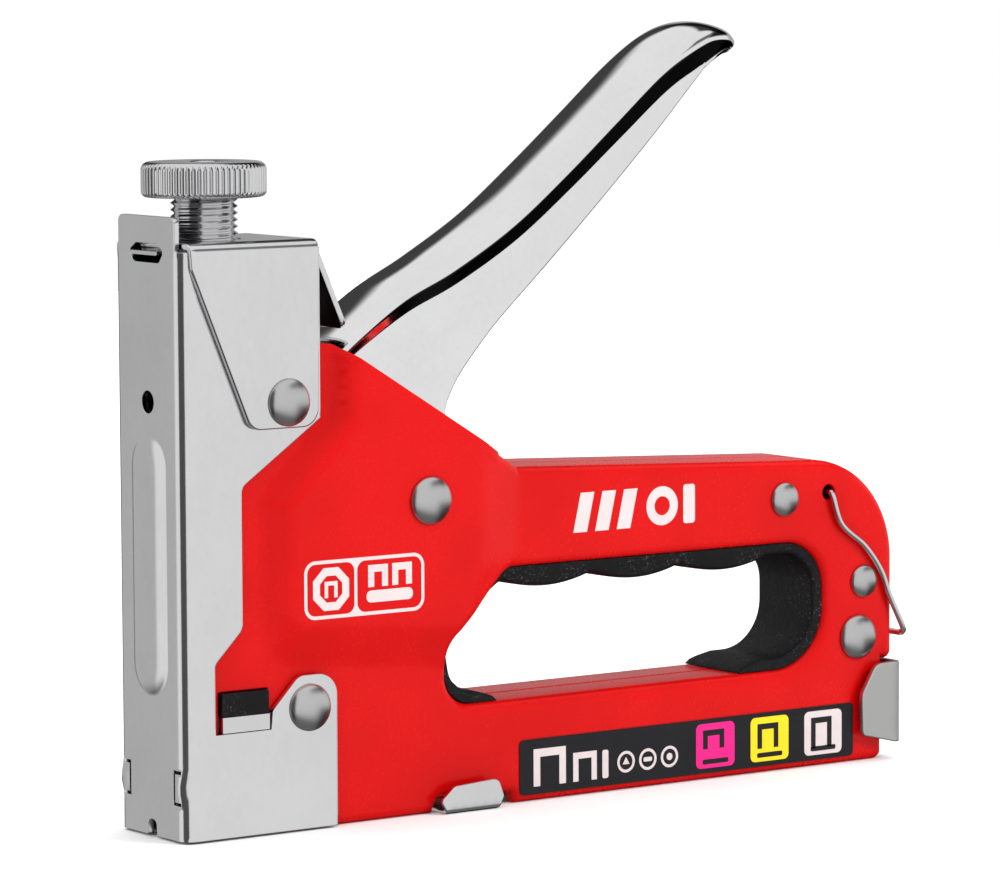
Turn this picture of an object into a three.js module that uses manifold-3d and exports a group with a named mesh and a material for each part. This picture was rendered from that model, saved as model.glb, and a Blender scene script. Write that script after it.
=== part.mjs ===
// Hand-powered staple gun: two pressed steel shells around a spring-driven hammer, a chromed nose
// cover and top bracket, a squeeze handle, a power adjuster and a rear-loading staple magazine.
// Millimetres. X runs from the nose to the tail, Y across, Z up; the tool is drawn with the nose's
// front face at x = 0 and its sole at z = 0, and is moved onto its own origin at the end.
import * as THREE from "three";
import { mergeVertices } from "three/addons/utils/BufferGeometryUtils.js";
import Module from "manifold-3d";

const wasm = await Module();
wasm.setup();

// ---- Driving dimensions ----

const SHEET = 1.2; // pressed steel of the shells, cover, bracket, handle and clip
const THIN_SHEET = 1.0; // steel of the magazine parts
const FIT = 0.1; // gap between fixed neighbours
const RUN = 0.3; // gap around pieces that slide or turn

const BODY_LENGTH = 168.8; // nose face to tail
const BODY_HALF = 10.25; // half width of the shells at the grip
const FIELD_RISE = 3.15; // how far the field over the mechanism stands out of the shell
const TAIL_RADIUS = 29;
const TAIL_STEP = 2.6; // the tail below the magazine line is shorter by this
const GRIP_TOP = 64.8; // top of the grip at its front
const GRIP_FALL = 4.15; // how much lower the grip's top line is at the tail
const GRIP_FRONT = 76.2;
const SHOULDER_DROP = 18.6; // top of the shells behind the bracket, below the nose's top

const HOLE_FRONT = 59.4; // finger opening
const HOLE_TO_TAIL = 17.4;
const HOLE_FLOOR = 20.1;
const HOLE_ROOF = 45.7;

const NOSE_HEIGHT = 109;
const COVER_GAP = 0.3; // between a shell and the cover's side
const COVER_DEPTH = 33.4; // length of the cover's side at its foot
const COVER_MID = 12.8; // and over the mechanism
const COVER_TOP = 30.2; // and at the bracket
const COVER_SOLE = 0.4; // cover stops this far above the sole
const TAB_RISE = 6; // front tab above the nose
const TAB_HALF = 9.75;
const RIB_HALF = 6;
const RIB_DEPTH = 0.9;
const RIB_LOW = 26.5;
const RIB_DROP = 34.3; // top of the rib below the nose's top
const WINDOW = { x: [8.2, 19.0], z: [19.5, 27.4] };

const BRACKET_BACK = 29.3;
const EAR_DROP = 33.4; // bracket's ears below the nose's top
const TONGUE_REACH = 8.1; // rear tongue's tip behind the bracket
const TONGUE_DROP = 14.6; // and below the nose's top
const TONGUE_HALF = 10;

const KNOB_X = 12.6;
const KNOB_RADIUS = 11.6;
const KNOB_HEIGHT = 5.6;
const KNOB_LIFT = 8.1; // shank showing between bracket and head
const KNOB_TEETH = 60;
const SCREW_RADIUS = 6.25;
const SCREW_PITCH = 1.25;
const CAP_DROP = 12; // screw's foot, on the spring cap, below the nose's top
const CAP_HEIGHT = 5;

const SPRING_RADIUS = 6.0;
const SPRING_WIRE = 1.1;
const HAMMER_FOOT = 27.5;
const HAMMER_TOP = 50;
const BLADE_THICK = 1.0;
const CROWN_HALF = 5.2; // half width of the driver blade

const PIVOT = [53.6, 60.2]; // handle axle
const AXLE_RADIUS = 2.6;
const LEVER_REACH = 28; // axle to lift pin
const LEVER_DROP = 26; // degrees below level at rest
const LIFT_PIN_RADIUS = 2;
const LEG_HALF = 8; // half width over the handle's legs
const CAP_HALF = 9.1; // and over its rounded back

const RAIL_HALF = 4.8;
const CHANNEL_HALF = 6.9;
const CHANNEL_TOP = 13.2;
const SOLE_STRAP = 0.8;
const WING_STAND = 2.75; // outside of the strap's wings from the shells
const ROD_RADIUS = 1.2;
const ROD_HEIGHT = 9.2;
const CLIP_STAND = 2.35; // outside of the clip from the shells
const CLIP_LENGTH = 10.0;
const CLIP_TOP = 19.9;
const BAIL_WIRE = 0.6;
const BAIL_HOLE = 1.55;

// ---- Derived places ----

const FIELD_HALF = BODY_HALF + FIELD_RISE;
const SHELL_INNER = BODY_HALF - SHEET;
const SHOULDER_TOP = NOSE_HEIGHT - SHOULDER_DROP;
const BRACKET_EAR = NOSE_HEIGHT - EAR_DROP;
const CAP_TOP = NOSE_HEIGHT - CAP_DROP;
const RIB_SPAN = [RIB_LOW, NOSE_HEIGHT - RIB_DROP];
const TONGUE_TIP = [BRACKET_BACK + TONGUE_REACH, NOSE_HEIGHT - TONGUE_DROP];
const CLIP_HALF = BODY_HALF + CLIP_STAND;
const COVER_HALF = BODY_HALF + COVER_GAP + SHEET;
const COVER_INNER = COVER_HALF - SHEET;
const BRACKET_HALF = COVER_HALF + FIT + SHEET;
const BRACKET_TOP = NOSE_HEIGHT + FIT + SHEET;
const HOLE_BACK = BODY_LENGTH - HOLE_TO_TAIL;
const MAGAZINE_END = BODY_LENGTH - TAIL_STEP - RUN;
const SHELL_FRONT = SHEET + COVER_GAP;
const HEAD_FOOT = BRACKET_TOP + KNOB_LIFT;
const RIVETS = {
  rivet_bracket: { at: [22.4, BRACKET_EAR + 4.8], half: BRACKET_HALF, head: 4.45, shank: 2.2 },
  rivet_pivot: { at: PIVOT, half: FIELD_HALF, head: 4.6, shank: AXLE_RADIUS },
  rivet_nose: { at: [27.3, 23.2], half: COVER_HALF, head: 4.45, shank: 2.2 },
  rivet_grip: { at: [BODY_LENGTH - 28, 54.3], half: BODY_HALF, head: 3.4, shank: 1.9 },
  rivet_tail_upper: { at: [BODY_LENGTH - 7.8, 36.5], half: BODY_HALF, head: 3.3, shank: 1.9 },
  rivet_tail_lower: { at: [BODY_LENGTH - 9.3, 25.3], half: BODY_HALF, head: 4.5, shank: 2.2 },
};
const BAIL_PIVOT = [BODY_LENGTH - 16.7, 55];

// ---- Solids ----

// A closed three.js geometry as a manifold-3d solid.
function solidOf(geometry) {
  const bare = geometry.clone();
  bare.deleteAttribute("normal");
  bare.deleteAttribute("uv");
  const merged = mergeVertices(bare, 1e-4);
  const mesh = new wasm.Mesh({
    numProp: 3,
    vertProperties: new Float32Array(merged.attributes.position.array),
    triVerts: new Uint32Array(merged.index.array),
  });
  return new wasm.Manifold(mesh);
}

function geometryOf(solid) {
  const mesh = solid.getMesh();
  const geometry = new THREE.BufferGeometry();
  geometry.setAttribute("position", new THREE.BufferAttribute(mesh.vertProperties, 3));
  geometry.setIndex(new THREE.BufferAttribute(mesh.triVerts, 1));
  const flat = geometry.toNonIndexed();
  flat.computeVertexNormals();
  return flat;
}

function join(first, ...others) {
  return others.reduce((whole, piece) => whole.add(piece), first);
}

function cut(first, ...tools) {
  return tools.reduce((left, tool) => left.subtract(tool), first);
}

// A filleted outline from anticlockwise corners [x, z, fillet radius, arc steps]; every edge is
// moved inwards by inset, and fillets grow or shrink with it.
function outline(corners, inset = 0) {
  const count = corners.length;
  const edges = corners.map(([x, z], i) => {
    const [nextX, nextZ] = corners[(i + 1) % count];
    const along = new THREE.Vector2(nextX - x, nextZ - z).normalize();
    const inward = new THREE.Vector2(-along.y, along.x);
    return { along, start: new THREE.Vector2(x, z).addScaledVector(inward, inset) };
  });
  const moved = edges.map((edge, i) => {
    const before = edges[(i + count - 1) % count];
    const between = edge.start.clone().sub(before.start);
    const reach = between.cross(edge.along) / before.along.cross(edge.along);
    return before.start.clone().addScaledVector(before.along, reach);
  });
  const points = [];
  moved.forEach((corner, i) => {
    const before = edges[(i + count - 1) % count].along;
    const after = edges[i].along;
    const turn = before.cross(after);
    const angle = Math.acos(THREE.MathUtils.clamp(before.dot(after), -1, 1));
    const [, , wanted = 0, steps = 4] = corners[i];
    const toLast = corner.distanceTo(moved[(i + count - 1) % count]);
    const toNext = corner.distanceTo(moved[(i + 1) % count]);
    const grown = wanted > 0 ? Math.max(wanted - Math.sign(turn) * inset, 0.05) : 0;
    const tangent = Math.min(grown * Math.tan(angle / 2), 0.49 * toLast, 0.49 * toNext);
    if (tangent < 1e-6) {
      points.push(corner);
      return;
    }
    const radius = tangent / Math.tan(angle / 2);
    const side = new THREE.Vector2(-before.y, before.x).multiplyScalar(Math.sign(turn));
    const centre = corner.clone().addScaledVector(before, -tangent).addScaledVector(side, radius);
    const from = side.clone().negate();
    for (let k = 0; k <= steps; k++) {
      const swing = (Math.sign(turn) * angle * k) / steps;
      const spoke = from.clone().rotateAround(new THREE.Vector2(), swing);
      points.push(centre.clone().addScaledVector(spoke, radius));
    }
  });
  return points;
}

function circle(x, z, radius, steps = 24) {
  return Array.from({ length: steps }, (_, k) => {
    const angle = (2 * Math.PI * k) / steps;
    return new THREE.Vector2(x + radius * Math.cos(angle), z + radius * Math.sin(angle));
  });
}

function extruded(points, depth, basis, origin) {
  const geometry = new THREE.ExtrudeGeometry(new THREE.Shape(points), { depth, bevelEnabled: false });
  const place = new THREE.Matrix4().makeBasis(...basis).setPosition(...origin);
  return solidOf(geometry.applyMatrix4(place));
}

const AXIS_X = new THREE.Vector3(1, 0, 0);
const AXIS_Y = new THREE.Vector3(0, 1, 0);
const AXIS_Z = new THREE.Vector3(0, 0, 1);

// A side outline (x, z) as a slab from y0 to y1.
function slab(points, y0, y1) {
  return extruded(points, y1 - y0, [AXIS_X, AXIS_Z, AXIS_Y.clone().negate()], [0, y1, 0]);
}

// A plan outline (x, y) from z0 to z1.
function plan(points, z0, z1) {
  return extruded(points, z1 - z0, [AXIS_X, AXIS_Y, AXIS_Z], [0, 0, z0]);
}

// A cross-section (y, z) from x0 to x1.
function section(points, x0, x1) {
  return extruded(points, x1 - x0, [AXIS_Y, AXIS_Z, AXIS_X], [x0, 0, 0]);
}

function box(x0, x1, y0, y1, z0, z1) {
  const geometry = new THREE.BoxGeometry(x1 - x0, y1 - y0, z1 - z0);
  return solidOf(geometry.translate((x0 + x1) / 2, (y0 + y1) / 2, (z0 + z1) / 2));
}

function pinAcross(x, z, radius, half, steps = 24) {
  return slab(circle(x, z, radius, steps), -half, half);
}

// The skin through a row of rings that hold the same number of points, closed at both ends.
function loft(rings) {
  const width = rings[0].length;
  const positions = rings.flat().flatMap((p) => [p.x, p.y, p.z]);
  const faces = [];
  for (let i = 0; i + 1 < rings.length; i++) {
    for (let j = 0; j < width; j++) {
      const a = i * width + j;
      const b = i * width + ((j + 1) % width);
      faces.push([a, b, b + width], [a, b + width, a + width]);
    }
  }
  const last = (rings.length - 1) * width;
  capFaces(rings[0]).forEach(([a, b, c]) => faces.push([a, c, b]));
  capFaces(rings.at(-1)).forEach(([a, b, c]) => faces.push([last + a, last + b, last + c]));
  const geometry = new THREE.BufferGeometry();
  geometry.setAttribute("position", new THREE.Float32BufferAttribute(positions, 3));
  geometry.setIndex(faces.flat());
  return solidOf(facedOut(geometry));
}

// Triangles of a flat ring, wound with the ring.
function capFaces(ring) {
  const normal = new THREE.Vector3();
  ring.forEach((p, i) => normal.add(p.clone().cross(ring[(i + 1) % ring.length])));
  normal.normalize();
  const across = ring[1].clone().sub(ring[0]).cross(normal).negate().normalize();
  const along = across.clone().cross(normal).normalize();
  const flat = ring.map((p) => new THREE.Vector2(p.dot(along), p.dot(across)));
  return THREE.ShapeUtils.triangulateShape(flat, []).map((face) => orient(face, flat));
}

function orient([a, b, c], flat) {
  const clockwise = THREE.ShapeUtils.isClockWise([flat[a], flat[b], flat[c]]);
  const ringClockwise = THREE.ShapeUtils.isClockWise(flat);
  return clockwise === ringClockwise ? [a, b, c] : [a, c, b];
}

function facedOut(geometry) {
  const at = geometry.attributes.position;
  const index = geometry.index.array;
  const [a, b, c] = [new THREE.Vector3(), new THREE.Vector3(), new THREE.Vector3()];
  let volume = 0;
  for (let i = 0; i < index.length; i += 3) {
    a.fromBufferAttribute(at, index[i]);
    b.fromBufferAttribute(at, index[i + 1]);
    c.fromBufferAttribute(at, index[i + 2]);
    volume += a.dot(b.cross(c));
  }
  if (volume < 0) {
    for (let i = 0; i < index.length; i += 3) {
      [index[i + 1], index[i + 2]] = [index[i + 2], index[i + 1]];
    }
  }
  return geometry;
}

// A round bar of the given radius along a curve.
function bar(curve, radius, steps, sides = 8) {
  const geometry = new THREE.ExtrudeGeometry(new THREE.Shape(circle(0, 0, radius, sides)), {
    steps,
    bevelEnabled: false,
    extrudePath: curve,
  });
  return solidOf(geometry);
}

class Helix extends THREE.Curve {
  constructor(centre, axis, radius, length, turns) {
    super();
    Object.assign(this, { centre, axis, radius, span: length, turns });
  }

  getPoint(t) {
    const angle = 2 * Math.PI * this.turns * t;
    const [c, s] = [this.radius * Math.cos(angle), this.radius * Math.sin(angle)];
    const along = this.span * t;
    const offset = {
      x: new THREE.Vector3(along, c, s),
      y: new THREE.Vector3(c, along, s),
      z: new THREE.Vector3(c, s, along),
    }[this.axis];
    return offset.add(this.centre);
  }
}

// ---- Shells ----

const GRIP_BACK_TOP = GRIP_TOP - GRIP_FALL;
const SHELL_CORNERS = [
  [SHELL_FRONT, 0],
  [56.1, 0],
  [57.3, 2.5, 0.8],
  [74.4, 2.3, 0.8],
  [75.3, 0],
  [BODY_LENGTH - TAIL_STEP, 0, 1],
  [BODY_LENGTH - TAIL_STEP, CLIP_TOP + RUN],
  [BODY_LENGTH, CLIP_TOP + RUN, 0.5],
  [BODY_LENGTH, GRIP_BACK_TOP, TAIL_RADIUS, 12],
  [GRIP_FRONT, GRIP_TOP, 0.8],
  [71.2, 67.6, 0.5],
  [34, SHOULDER_TOP, 1.2],
  [BRACKET_BACK - 0.8, SHOULDER_TOP + 0.8],
  [BRACKET_BACK - 0.8, NOSE_HEIGHT - 2],
  [SHELL_FRONT, NOSE_HEIGHT - 2],
];

const HOLE_CORNERS = [
  [HOLE_FRONT, HOLE_FLOOR, 8.5, 6],
  [HOLE_BACK, HOLE_FLOOR, 12, 7],
  [HOLE_BACK, HOLE_ROOF - 0.3, 9.5, 6],
  [HOLE_FRONT + 13.4, HOLE_ROOF, 6],
  [HOLE_FRONT, HOLE_FLOOR + 13, 6],
];

// The raised field over the mechanism: its foot on the shell and its crest.
const FIELD_FOOT = [
  [33.6, 98],
  [33, 76.6, 2],
  [18.6, 61.8, 3],
  [18.6, 31.3, 7],
  [HOLE_FRONT + 2.6, 27.8, 1],
  [GRIP_FRONT - 0.3, 45, 1],
  [GRIP_FRONT + 0.5, 76],
];
const FIELD_CREST = [
  [37, 98],
  [36.6, 76.2, 2],
  [22.2, 61.8, 3],
  [22.2, 38.9, 4],
  [HOLE_FRONT + 2.6, 35.8, 1],
  [GRIP_FRONT - 10.8, 46.5, 1],
  [GRIP_FRONT - 10.8, 76],
];

function ringAt(points, y) {
  return points.map((p) => new THREE.Vector3(p.x, y, p.y));
}

// The field's solid, drawn in by inset and sunk by depth for the hollow behind it.
function field(inset, depth) {
  const foot = outline(FIELD_FOOT, inset);
  const crest = outline(FIELD_CREST, inset);
  const root = BODY_HALF - depth;
  return loft([ringAt(foot, -root + 1), ringAt(foot, -root), ringAt(crest, depth - FIELD_HALF)]);
}

function shell() {
  const far = FIELD_HALF + 1;
  const seam = FIT / 2;
  const profile = slab(outline(SHELL_CORNERS), -far, -seam);
  const raised = field(0, 0).intersect(profile);
  const body = join(slab(outline(SHELL_CORNERS), -BODY_HALF, -seam), raised);
  const pocket = slab(outline(SHELL_CORNERS, SHEET), -SHELL_INNER, 1);
  const inside = slab(outline(SHELL_CORNERS, SHEET), -far, 1);
  const hollow = join(pocket, field(SHEET / 2, SHEET).intersect(inside));
  const holeWall = slab(outline(HOLE_CORNERS, -SHEET), -far, 2);
  const mouth = [
    [BRACKET_BACK - 2, SHOULDER_TOP - 5.4],
    [GRIP_FRONT - 6, 59],
    [GRIP_FRONT - 6, 70],
    [34, SHOULDER_TOP + 3.6],
    [BRACKET_BACK - 2, SHOULDER_TOP + 3.6],
  ];
  const tools = [
    cut(hollow, holeWall),
    slab(outline(HOLE_CORNERS), -far, 1),
    slab(outline(mouth), -(FIELD_HALF - SHEET), 1),
    box(-1, BRACKET_BACK - 2, -SHELL_INNER, 1, -1, NOSE_HEIGHT + 1),
    box(-1, BODY_LENGTH + 1, -(CHANNEL_HALF + FIT), 1, -1, CHANNEL_TOP + 1),
    box(WINDOW.x[0], WINDOW.x[1], -far, 0, WINDOW.z[0], WINDOW.z[1]),
    pinAcross(...BAIL_PIVOT, BAIL_HOLE, far, 16),
    ...Object.values(RIVETS).map(({ at, shank }) => pinAcross(...at, shank + FIT, far, 16)),
  ];
  return cut(body, ...tools);
}

// ---- Nose ----

const COVER_CORNERS = [
  [0, COVER_SOLE],
  [COVER_DEPTH, COVER_SOLE],
  [COVER_DEPTH, 29.3, 6, 7],
  [25, 29.3, 3],
  [19.1, 23.2, 1],
  [18.8, WINDOW.z[0] + 0.3],
  [6.7, WINDOW.z[0] + 0.3],
  [6.7, 32.8, 2],
  [COVER_MID, 38.9, 2],
  [COVER_MID, 65.1, 2.5],
  [COVER_TOP, 77],
  [COVER_TOP, NOSE_HEIGHT - COVER_GAP],
  [0, NOSE_HEIGHT - COVER_GAP],
];

// The U that the cover makes in plan, with rounded bends.
function coverPlan() {
  const bend = 2;
  const back = COVER_DEPTH + 1;
  const outer = outline([
    [0, -COVER_HALF, bend],
    [back, -COVER_HALF],
    [back, COVER_HALF],
    [0, COVER_HALF, bend],
  ]);
  const inner = outline([
    [SHEET, -COVER_INNER, bend - SHEET],
    [back + 1, -COVER_INNER],
    [back + 1, COVER_INNER],
    [SHEET, COVER_INNER, bend - SHEET],
  ]);
  return cut(plan(outer, 0, NOSE_HEIGHT), plan(inner, -1, NOSE_HEIGHT + 1));
}

// The long rib pressed forward out of the nose's face, or the groove behind it.
function noseRib(inset, depth) {
  const [low, high] = RIB_SPAN;
  const round = (edge) => [
    [-RIB_HALF + edge, low + edge, RIB_HALF - edge - 0.1, 6],
    [RIB_HALF - edge, low + edge, RIB_HALF - edge - 0.1, 6],
    [RIB_HALF - edge, high - edge, RIB_HALF - edge - 0.1, 6],
    [-RIB_HALF + edge, high - edge, RIB_HALF - edge - 0.1, 6],
  ];
  const ring = (edge, x) => outline(round(edge)).map((p) => new THREE.Vector3(x, p.x, p.y));
  return loft([ring(inset, depth + 0.5), ring(inset, depth), ring(inset + 1.6, depth - RIB_DEPTH)]);
}

// A three-sided slit that leaves a small tongue standing in the sheet.
function lanced(side) {
  const [near, far] = [7.5 * side, 9.9 * side];
  const [left, right] = [Math.min(near, far), Math.max(near, far)];
  const inner = side > 0 ? [left, left + 0.6] : [right - 0.6, right];
  return join(
    box(-1, SHEET + 1, inner[0], inner[1], 7, 13.5),
    box(-1, SHEET + 1, left, right, 7, 7.6),
    box(-1, SHEET + 1, left, right, 12.9, 13.5),
  );
}

function noseCover() {
  const side = slab(outline(COVER_CORNERS), -COVER_HALF - 1, COVER_HALF + 1);
  const tab = outline([
    [-TAB_HALF, NOSE_HEIGHT - 6],
    [TAB_HALF, NOSE_HEIGHT - 6],
    [TAB_HALF, NOSE_HEIGHT + TAB_RISE, 1.2],
    [-TAB_HALF, NOSE_HEIGHT + TAB_RISE, 1.2],
  ]);
  const folded = join(coverPlan().intersect(side), section(tab, 0, SHEET), noseRib(0, 0));
  const slot = outline([
    [-5.6, NOSE_HEIGHT - 1.7, 0.8],
    [5.6, NOSE_HEIGHT - 1.7, 0.8],
    [5.6, NOSE_HEIGHT + 0.6, 2],
    [-5.6, NOSE_HEIGHT + 0.6, 2],
  ]);
  const notch = outline([
    [-1.6, -1],
    [1.6, -1],
    [1.6, 3.6, 1.2],
    [-1.6, 3.6, 1.2],
  ]);
  const behind = box(-1, SHEET + 0.2, -9, 9, RIB_SPAN[0] - 6, RIB_SPAN[1] + 6);
  const groove = noseRib(SHEET / 2, SHEET).intersect(behind);
  const tools = [
    groove,
    section(slot, -1, SHEET + 1),
    section(notch, -1, SHEET + 1),
    section(circle(0, NOSE_HEIGHT - 28.2, 2.1, 20), -1, SHEET + 1),
    lanced(1),
    lanced(-1),
    ...["rivet_bracket", "rivet_nose"].map((name) => {
      const { at, shank } = RIVETS[name];
      return pinAcross(...at, shank + FIT, COVER_HALF + 2, 16);
    }),
  ];
  return cut(folded, ...tools);
}

function topBracket() {
  const ear = outline([
    [14.4, BRACKET_EAR, 3],
    [BRACKET_BACK - 0.3, BRACKET_EAR, 3.5],
    [BRACKET_BACK, BRACKET_TOP],
    [SHELL_FRONT, BRACKET_TOP],
    [SHELL_FRONT + 0.3, NOSE_HEIGHT - 3.4, 2],
  ]);
  const bend = 1.8;
  const hat = outline([
    [-BRACKET_HALF, BRACKET_EAR - 2],
    [BRACKET_HALF, BRACKET_EAR - 2],
    [BRACKET_HALF, BRACKET_TOP, bend],
    [-BRACKET_HALF, BRACKET_TOP, bend],
  ]);
  const inside = outline([
    [-BRACKET_HALF + SHEET, BRACKET_EAR - 3],
    [BRACKET_HALF - SHEET, BRACKET_EAR - 3],
    [BRACKET_HALF - SHEET, BRACKET_TOP - SHEET, bend - SHEET],
    [-BRACKET_HALF + SHEET, BRACKET_TOP - SHEET, bend - SHEET],
  ]);
  const folded = cut(section(hat, 0, BRACKET_BACK + 1), section(inside, -1, BRACKET_BACK + 2));
  const [tipX, tipZ] = TONGUE_TIP;
  const tongue = outline([
    [BRACKET_BACK - 1.5, BRACKET_TOP - SHEET],
    [BRACKET_BACK - 0.1, BRACKET_TOP - SHEET, 0.6],
    [tipX - 1.3, tipZ - 0.3, 0.4],
    [tipX, tipZ, 0.4],
    [BRACKET_BACK + 0.9, BRACKET_TOP, 0.8],
    [BRACKET_BACK - 1.5, BRACKET_TOP],
  ]);
  const lip = outline([
    [-0.5, NOSE_HEIGHT - 1.2],
    [3, NOSE_HEIGHT + FIT - 0.3],
    [3, NOSE_HEIGHT + FIT + 0.4],
    [1.9, NOSE_HEIGHT + FIT + 0.4],
    [-0.5, NOSE_HEIGHT - 0.2],
  ]);
  const { at, shank } = RIVETS.rivet_bracket;
  return cut(
    join(
      folded.intersect(slab(ear, -BRACKET_HALF - 1, BRACKET_HALF + 1)),
      slab(tongue, -TONGUE_HALF, TONGUE_HALF),
      slab(lip, -4.6, 4.6),
    ),
    plan(circle(KNOB_X, 0, SCREW_RADIUS + RUN, 28), BRACKET_TOP - 3, BRACKET_TOP + 1),
    pinAcross(...at, shank + FIT, BRACKET_HALF + 2, 16),
  );
}

// ---- Power adjuster ----

function lathed(profile, steps, x = KNOB_X) {
  const points = profile.map(([radius, height]) => new THREE.Vector2(radius, height));
  const geometry = new THREE.LatheGeometry(points, steps);
  return solidOf(geometry.rotateX(Math.PI / 2).translate(x, 0, 0));
}

function knobHead() {
  const top = HEAD_FOOT + KNOB_HEIGHT;
  const edge = 0.9;
  const ring = (radius, z, depth) =>
    Array.from({ length: 2 * KNOB_TEETH }, (_, k) => {
      const angle = (Math.PI * k) / KNOB_TEETH;
      const reach = radius - (k % 2 ? depth : 0);
      return new THREE.Vector3(KNOB_X + reach * Math.cos(angle), reach * Math.sin(angle), z);
    });
  const rim = loft([
    ring(KNOB_RADIUS - edge, HEAD_FOOT, 0),
    ring(KNOB_RADIUS, HEAD_FOOT + edge, 0.35),
    ring(KNOB_RADIUS, top - edge, 0.35),
    ring(KNOB_RADIUS - edge, top, 0),
  ]);
  return cut(rim, plan(circle(KNOB_X, 0, 2.4, 20), top - 0.8, top + 1));
}

function knobScrew() {
  const groove = 0.5;
  const profile = [[0, CAP_TOP + FIT]];
  for (let z = CAP_TOP + FIT; z < HEAD_FOOT - FIT - SCREW_PITCH; z += SCREW_PITCH) {
    profile.push([SCREW_RADIUS - groove, z], [SCREW_RADIUS, z + SCREW_PITCH / 2]);
  }
  profile.push([SCREW_RADIUS - groove, HEAD_FOOT - FIT], [0, HEAD_FOOT - FIT]);
  return lathed(profile, 16);
}

function adjusterNut() {
  const top = NOSE_HEIGHT;
  const collar = plan(circle(KNOB_X, 0, SCREW_RADIUS + 1.95, 6), top - 6.2, top);
  return cut(collar, plan(circle(KNOB_X, 0, SCREW_RADIUS + RUN, 20), top - 8, top + 1));
}

function springCap() {
  const foot = CAP_TOP - CAP_HEIGHT;
  return lathed(
    [
      [0, foot],
      [4, foot],
      [4.3, foot + 1.2],
      [8.1, foot + 1.2],
      [8.1, CAP_TOP - 1],
      [7.1, CAP_TOP],
      [0, CAP_TOP],
    ],
    24,
  );
}

// ---- Firing train ----

function mainSpring() {
  const low = HAMMER_TOP + SPRING_WIRE + FIT;
  const high = CAP_TOP - CAP_HEIGHT + 1.2 - SPRING_WIRE - FIT;
  const coil = new Helix(new THREE.Vector3(KNOB_X, 0, low), "z", SPRING_RADIUS, high - low, 7);
  return bar(coil, SPRING_WIRE, 7 * 12, 6);
}

const HAMMER_FRONT = SHELL_FRONT + RUN + BLADE_THICK + FIT;
const LIFT_PIN = [
  PIVOT[0] - LEVER_REACH * Math.cos(THREE.MathUtils.degToRad(LEVER_DROP)),
  PIVOT[1] - LEVER_REACH * Math.sin(THREE.MathUtils.degToRad(LEVER_DROP)),
];

function hammer() {
  const half = SHELL_INNER - RUN;
  const [pinX, pinZ] = LIFT_PIN;
  const backOfFork = pinX + 4.6;
  const side = outline([
    [HAMMER_FRONT, HAMMER_FOOT, 0.5],
    [20, HAMMER_FOOT, 1],
    [21.5, pinZ - 5, 1],
    [backOfFork, pinZ - 5, 1],
    [backOfFork, pinZ + 5, 1],
    [20, pinZ + 5, 1],
    [20, HAMMER_TOP],
    [HAMMER_FRONT, HAMMER_TOP, 0.5],
  ]);
  const track = outline([
    [PIVOT[0] - LEVER_REACH - LIFT_PIN_RADIUS - RUN, pinZ - LIFT_PIN_RADIUS - RUN, 2],
    [pinX + LIFT_PIN_RADIUS + RUN, pinZ - LIFT_PIN_RADIUS - RUN, 2],
    [pinX + LIFT_PIN_RADIUS + RUN, pinZ + LIFT_PIN_RADIUS + RUN, 2],
    [PIVOT[0] - LEVER_REACH - LIFT_PIN_RADIUS - RUN, pinZ + LIFT_PIN_RADIUS + RUN, 2],
  ]);
  return cut(
    join(slab(side, -half, half), plan(circle(KNOB_X, 0, 4.2, 16), HAMMER_TOP - 1, HAMMER_TOP + 6)),
    slab(track, -half - 1, half + 1),
    box(18.8, backOfFork + 1, -3.1, 3.1, pinZ - 7, pinZ + 7),
  );
}

function driverBlade() {
  const front = SHELL_FRONT + RUN;
  return box(front, front + BLADE_THICK, -CROWN_HALF, CROWN_HALF, 0.6, HAMMER_TOP - 4);
}

function bladeGuide() {
  const front = SHELL_FRONT + RUN + BLADE_THICK + RUN;
  const wing = (side) => {
    const [a, b] = [side * (CROWN_HALF + 0.4), side * (SHELL_INNER - FIT)];
    return box(SHELL_FRONT + FIT, front + 0.1, Math.min(a, b), Math.max(a, b), 0, 19.2);
  };
  const plate = box(front, front + 1.2, -(SHELL_INNER - FIT), SHELL_INNER - FIT, 0, 19.2);
  const gate = CHANNEL_HALF + FIT;
  const mouth = box(front - 1, front + 2, -gate, gate, -1, CHANNEL_TOP + 0.2);
  return join(cut(plate, mouth), wing(1), wing(-1));
}

// The bumper and the plate under it share an outline with lugs that show in the side windows.
function lugged(z0, z1, lugHalf) {
  const half = SHELL_INNER - FIT;
  const front = SHELL_FRONT + RUN + BLADE_THICK + RUN;
  return join(
    box(front, 24.4, -half, half, z0, z1),
    box(WINDOW.x[0] + RUN, WINDOW.x[1] - RUN, -lugHalf, lugHalf, z0, z1),
  );
}

// ---- Handle ----

// Stations along the handle: crown x and z, depth from crown to lower edge, tilt in degrees.
const HANDLE_STATIONS = [
  [33, 87, 9, 42],
  [40, 92.6, 11, 37],
  [50, 99.2, 15, 30],
  [61, 104.6, 18.2, 28],
  [74, 112.1, 16, 34],
  [86, 121.2, 14.6, 38.5],
  [98, 131.3, 14, 41],
  [109, 141.2, 13.6, 41],
  [117, 146.9, 12, 31],
  [123.5, 149.0, 9, 9],
  [130, 147.9, 5, -17],
  [134.5, 145.8, 3, -30],
];

const TIP_START = 112; // where the handle starts to narrow to its round tip
const TIP_LENGTH = 24.5;

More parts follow.
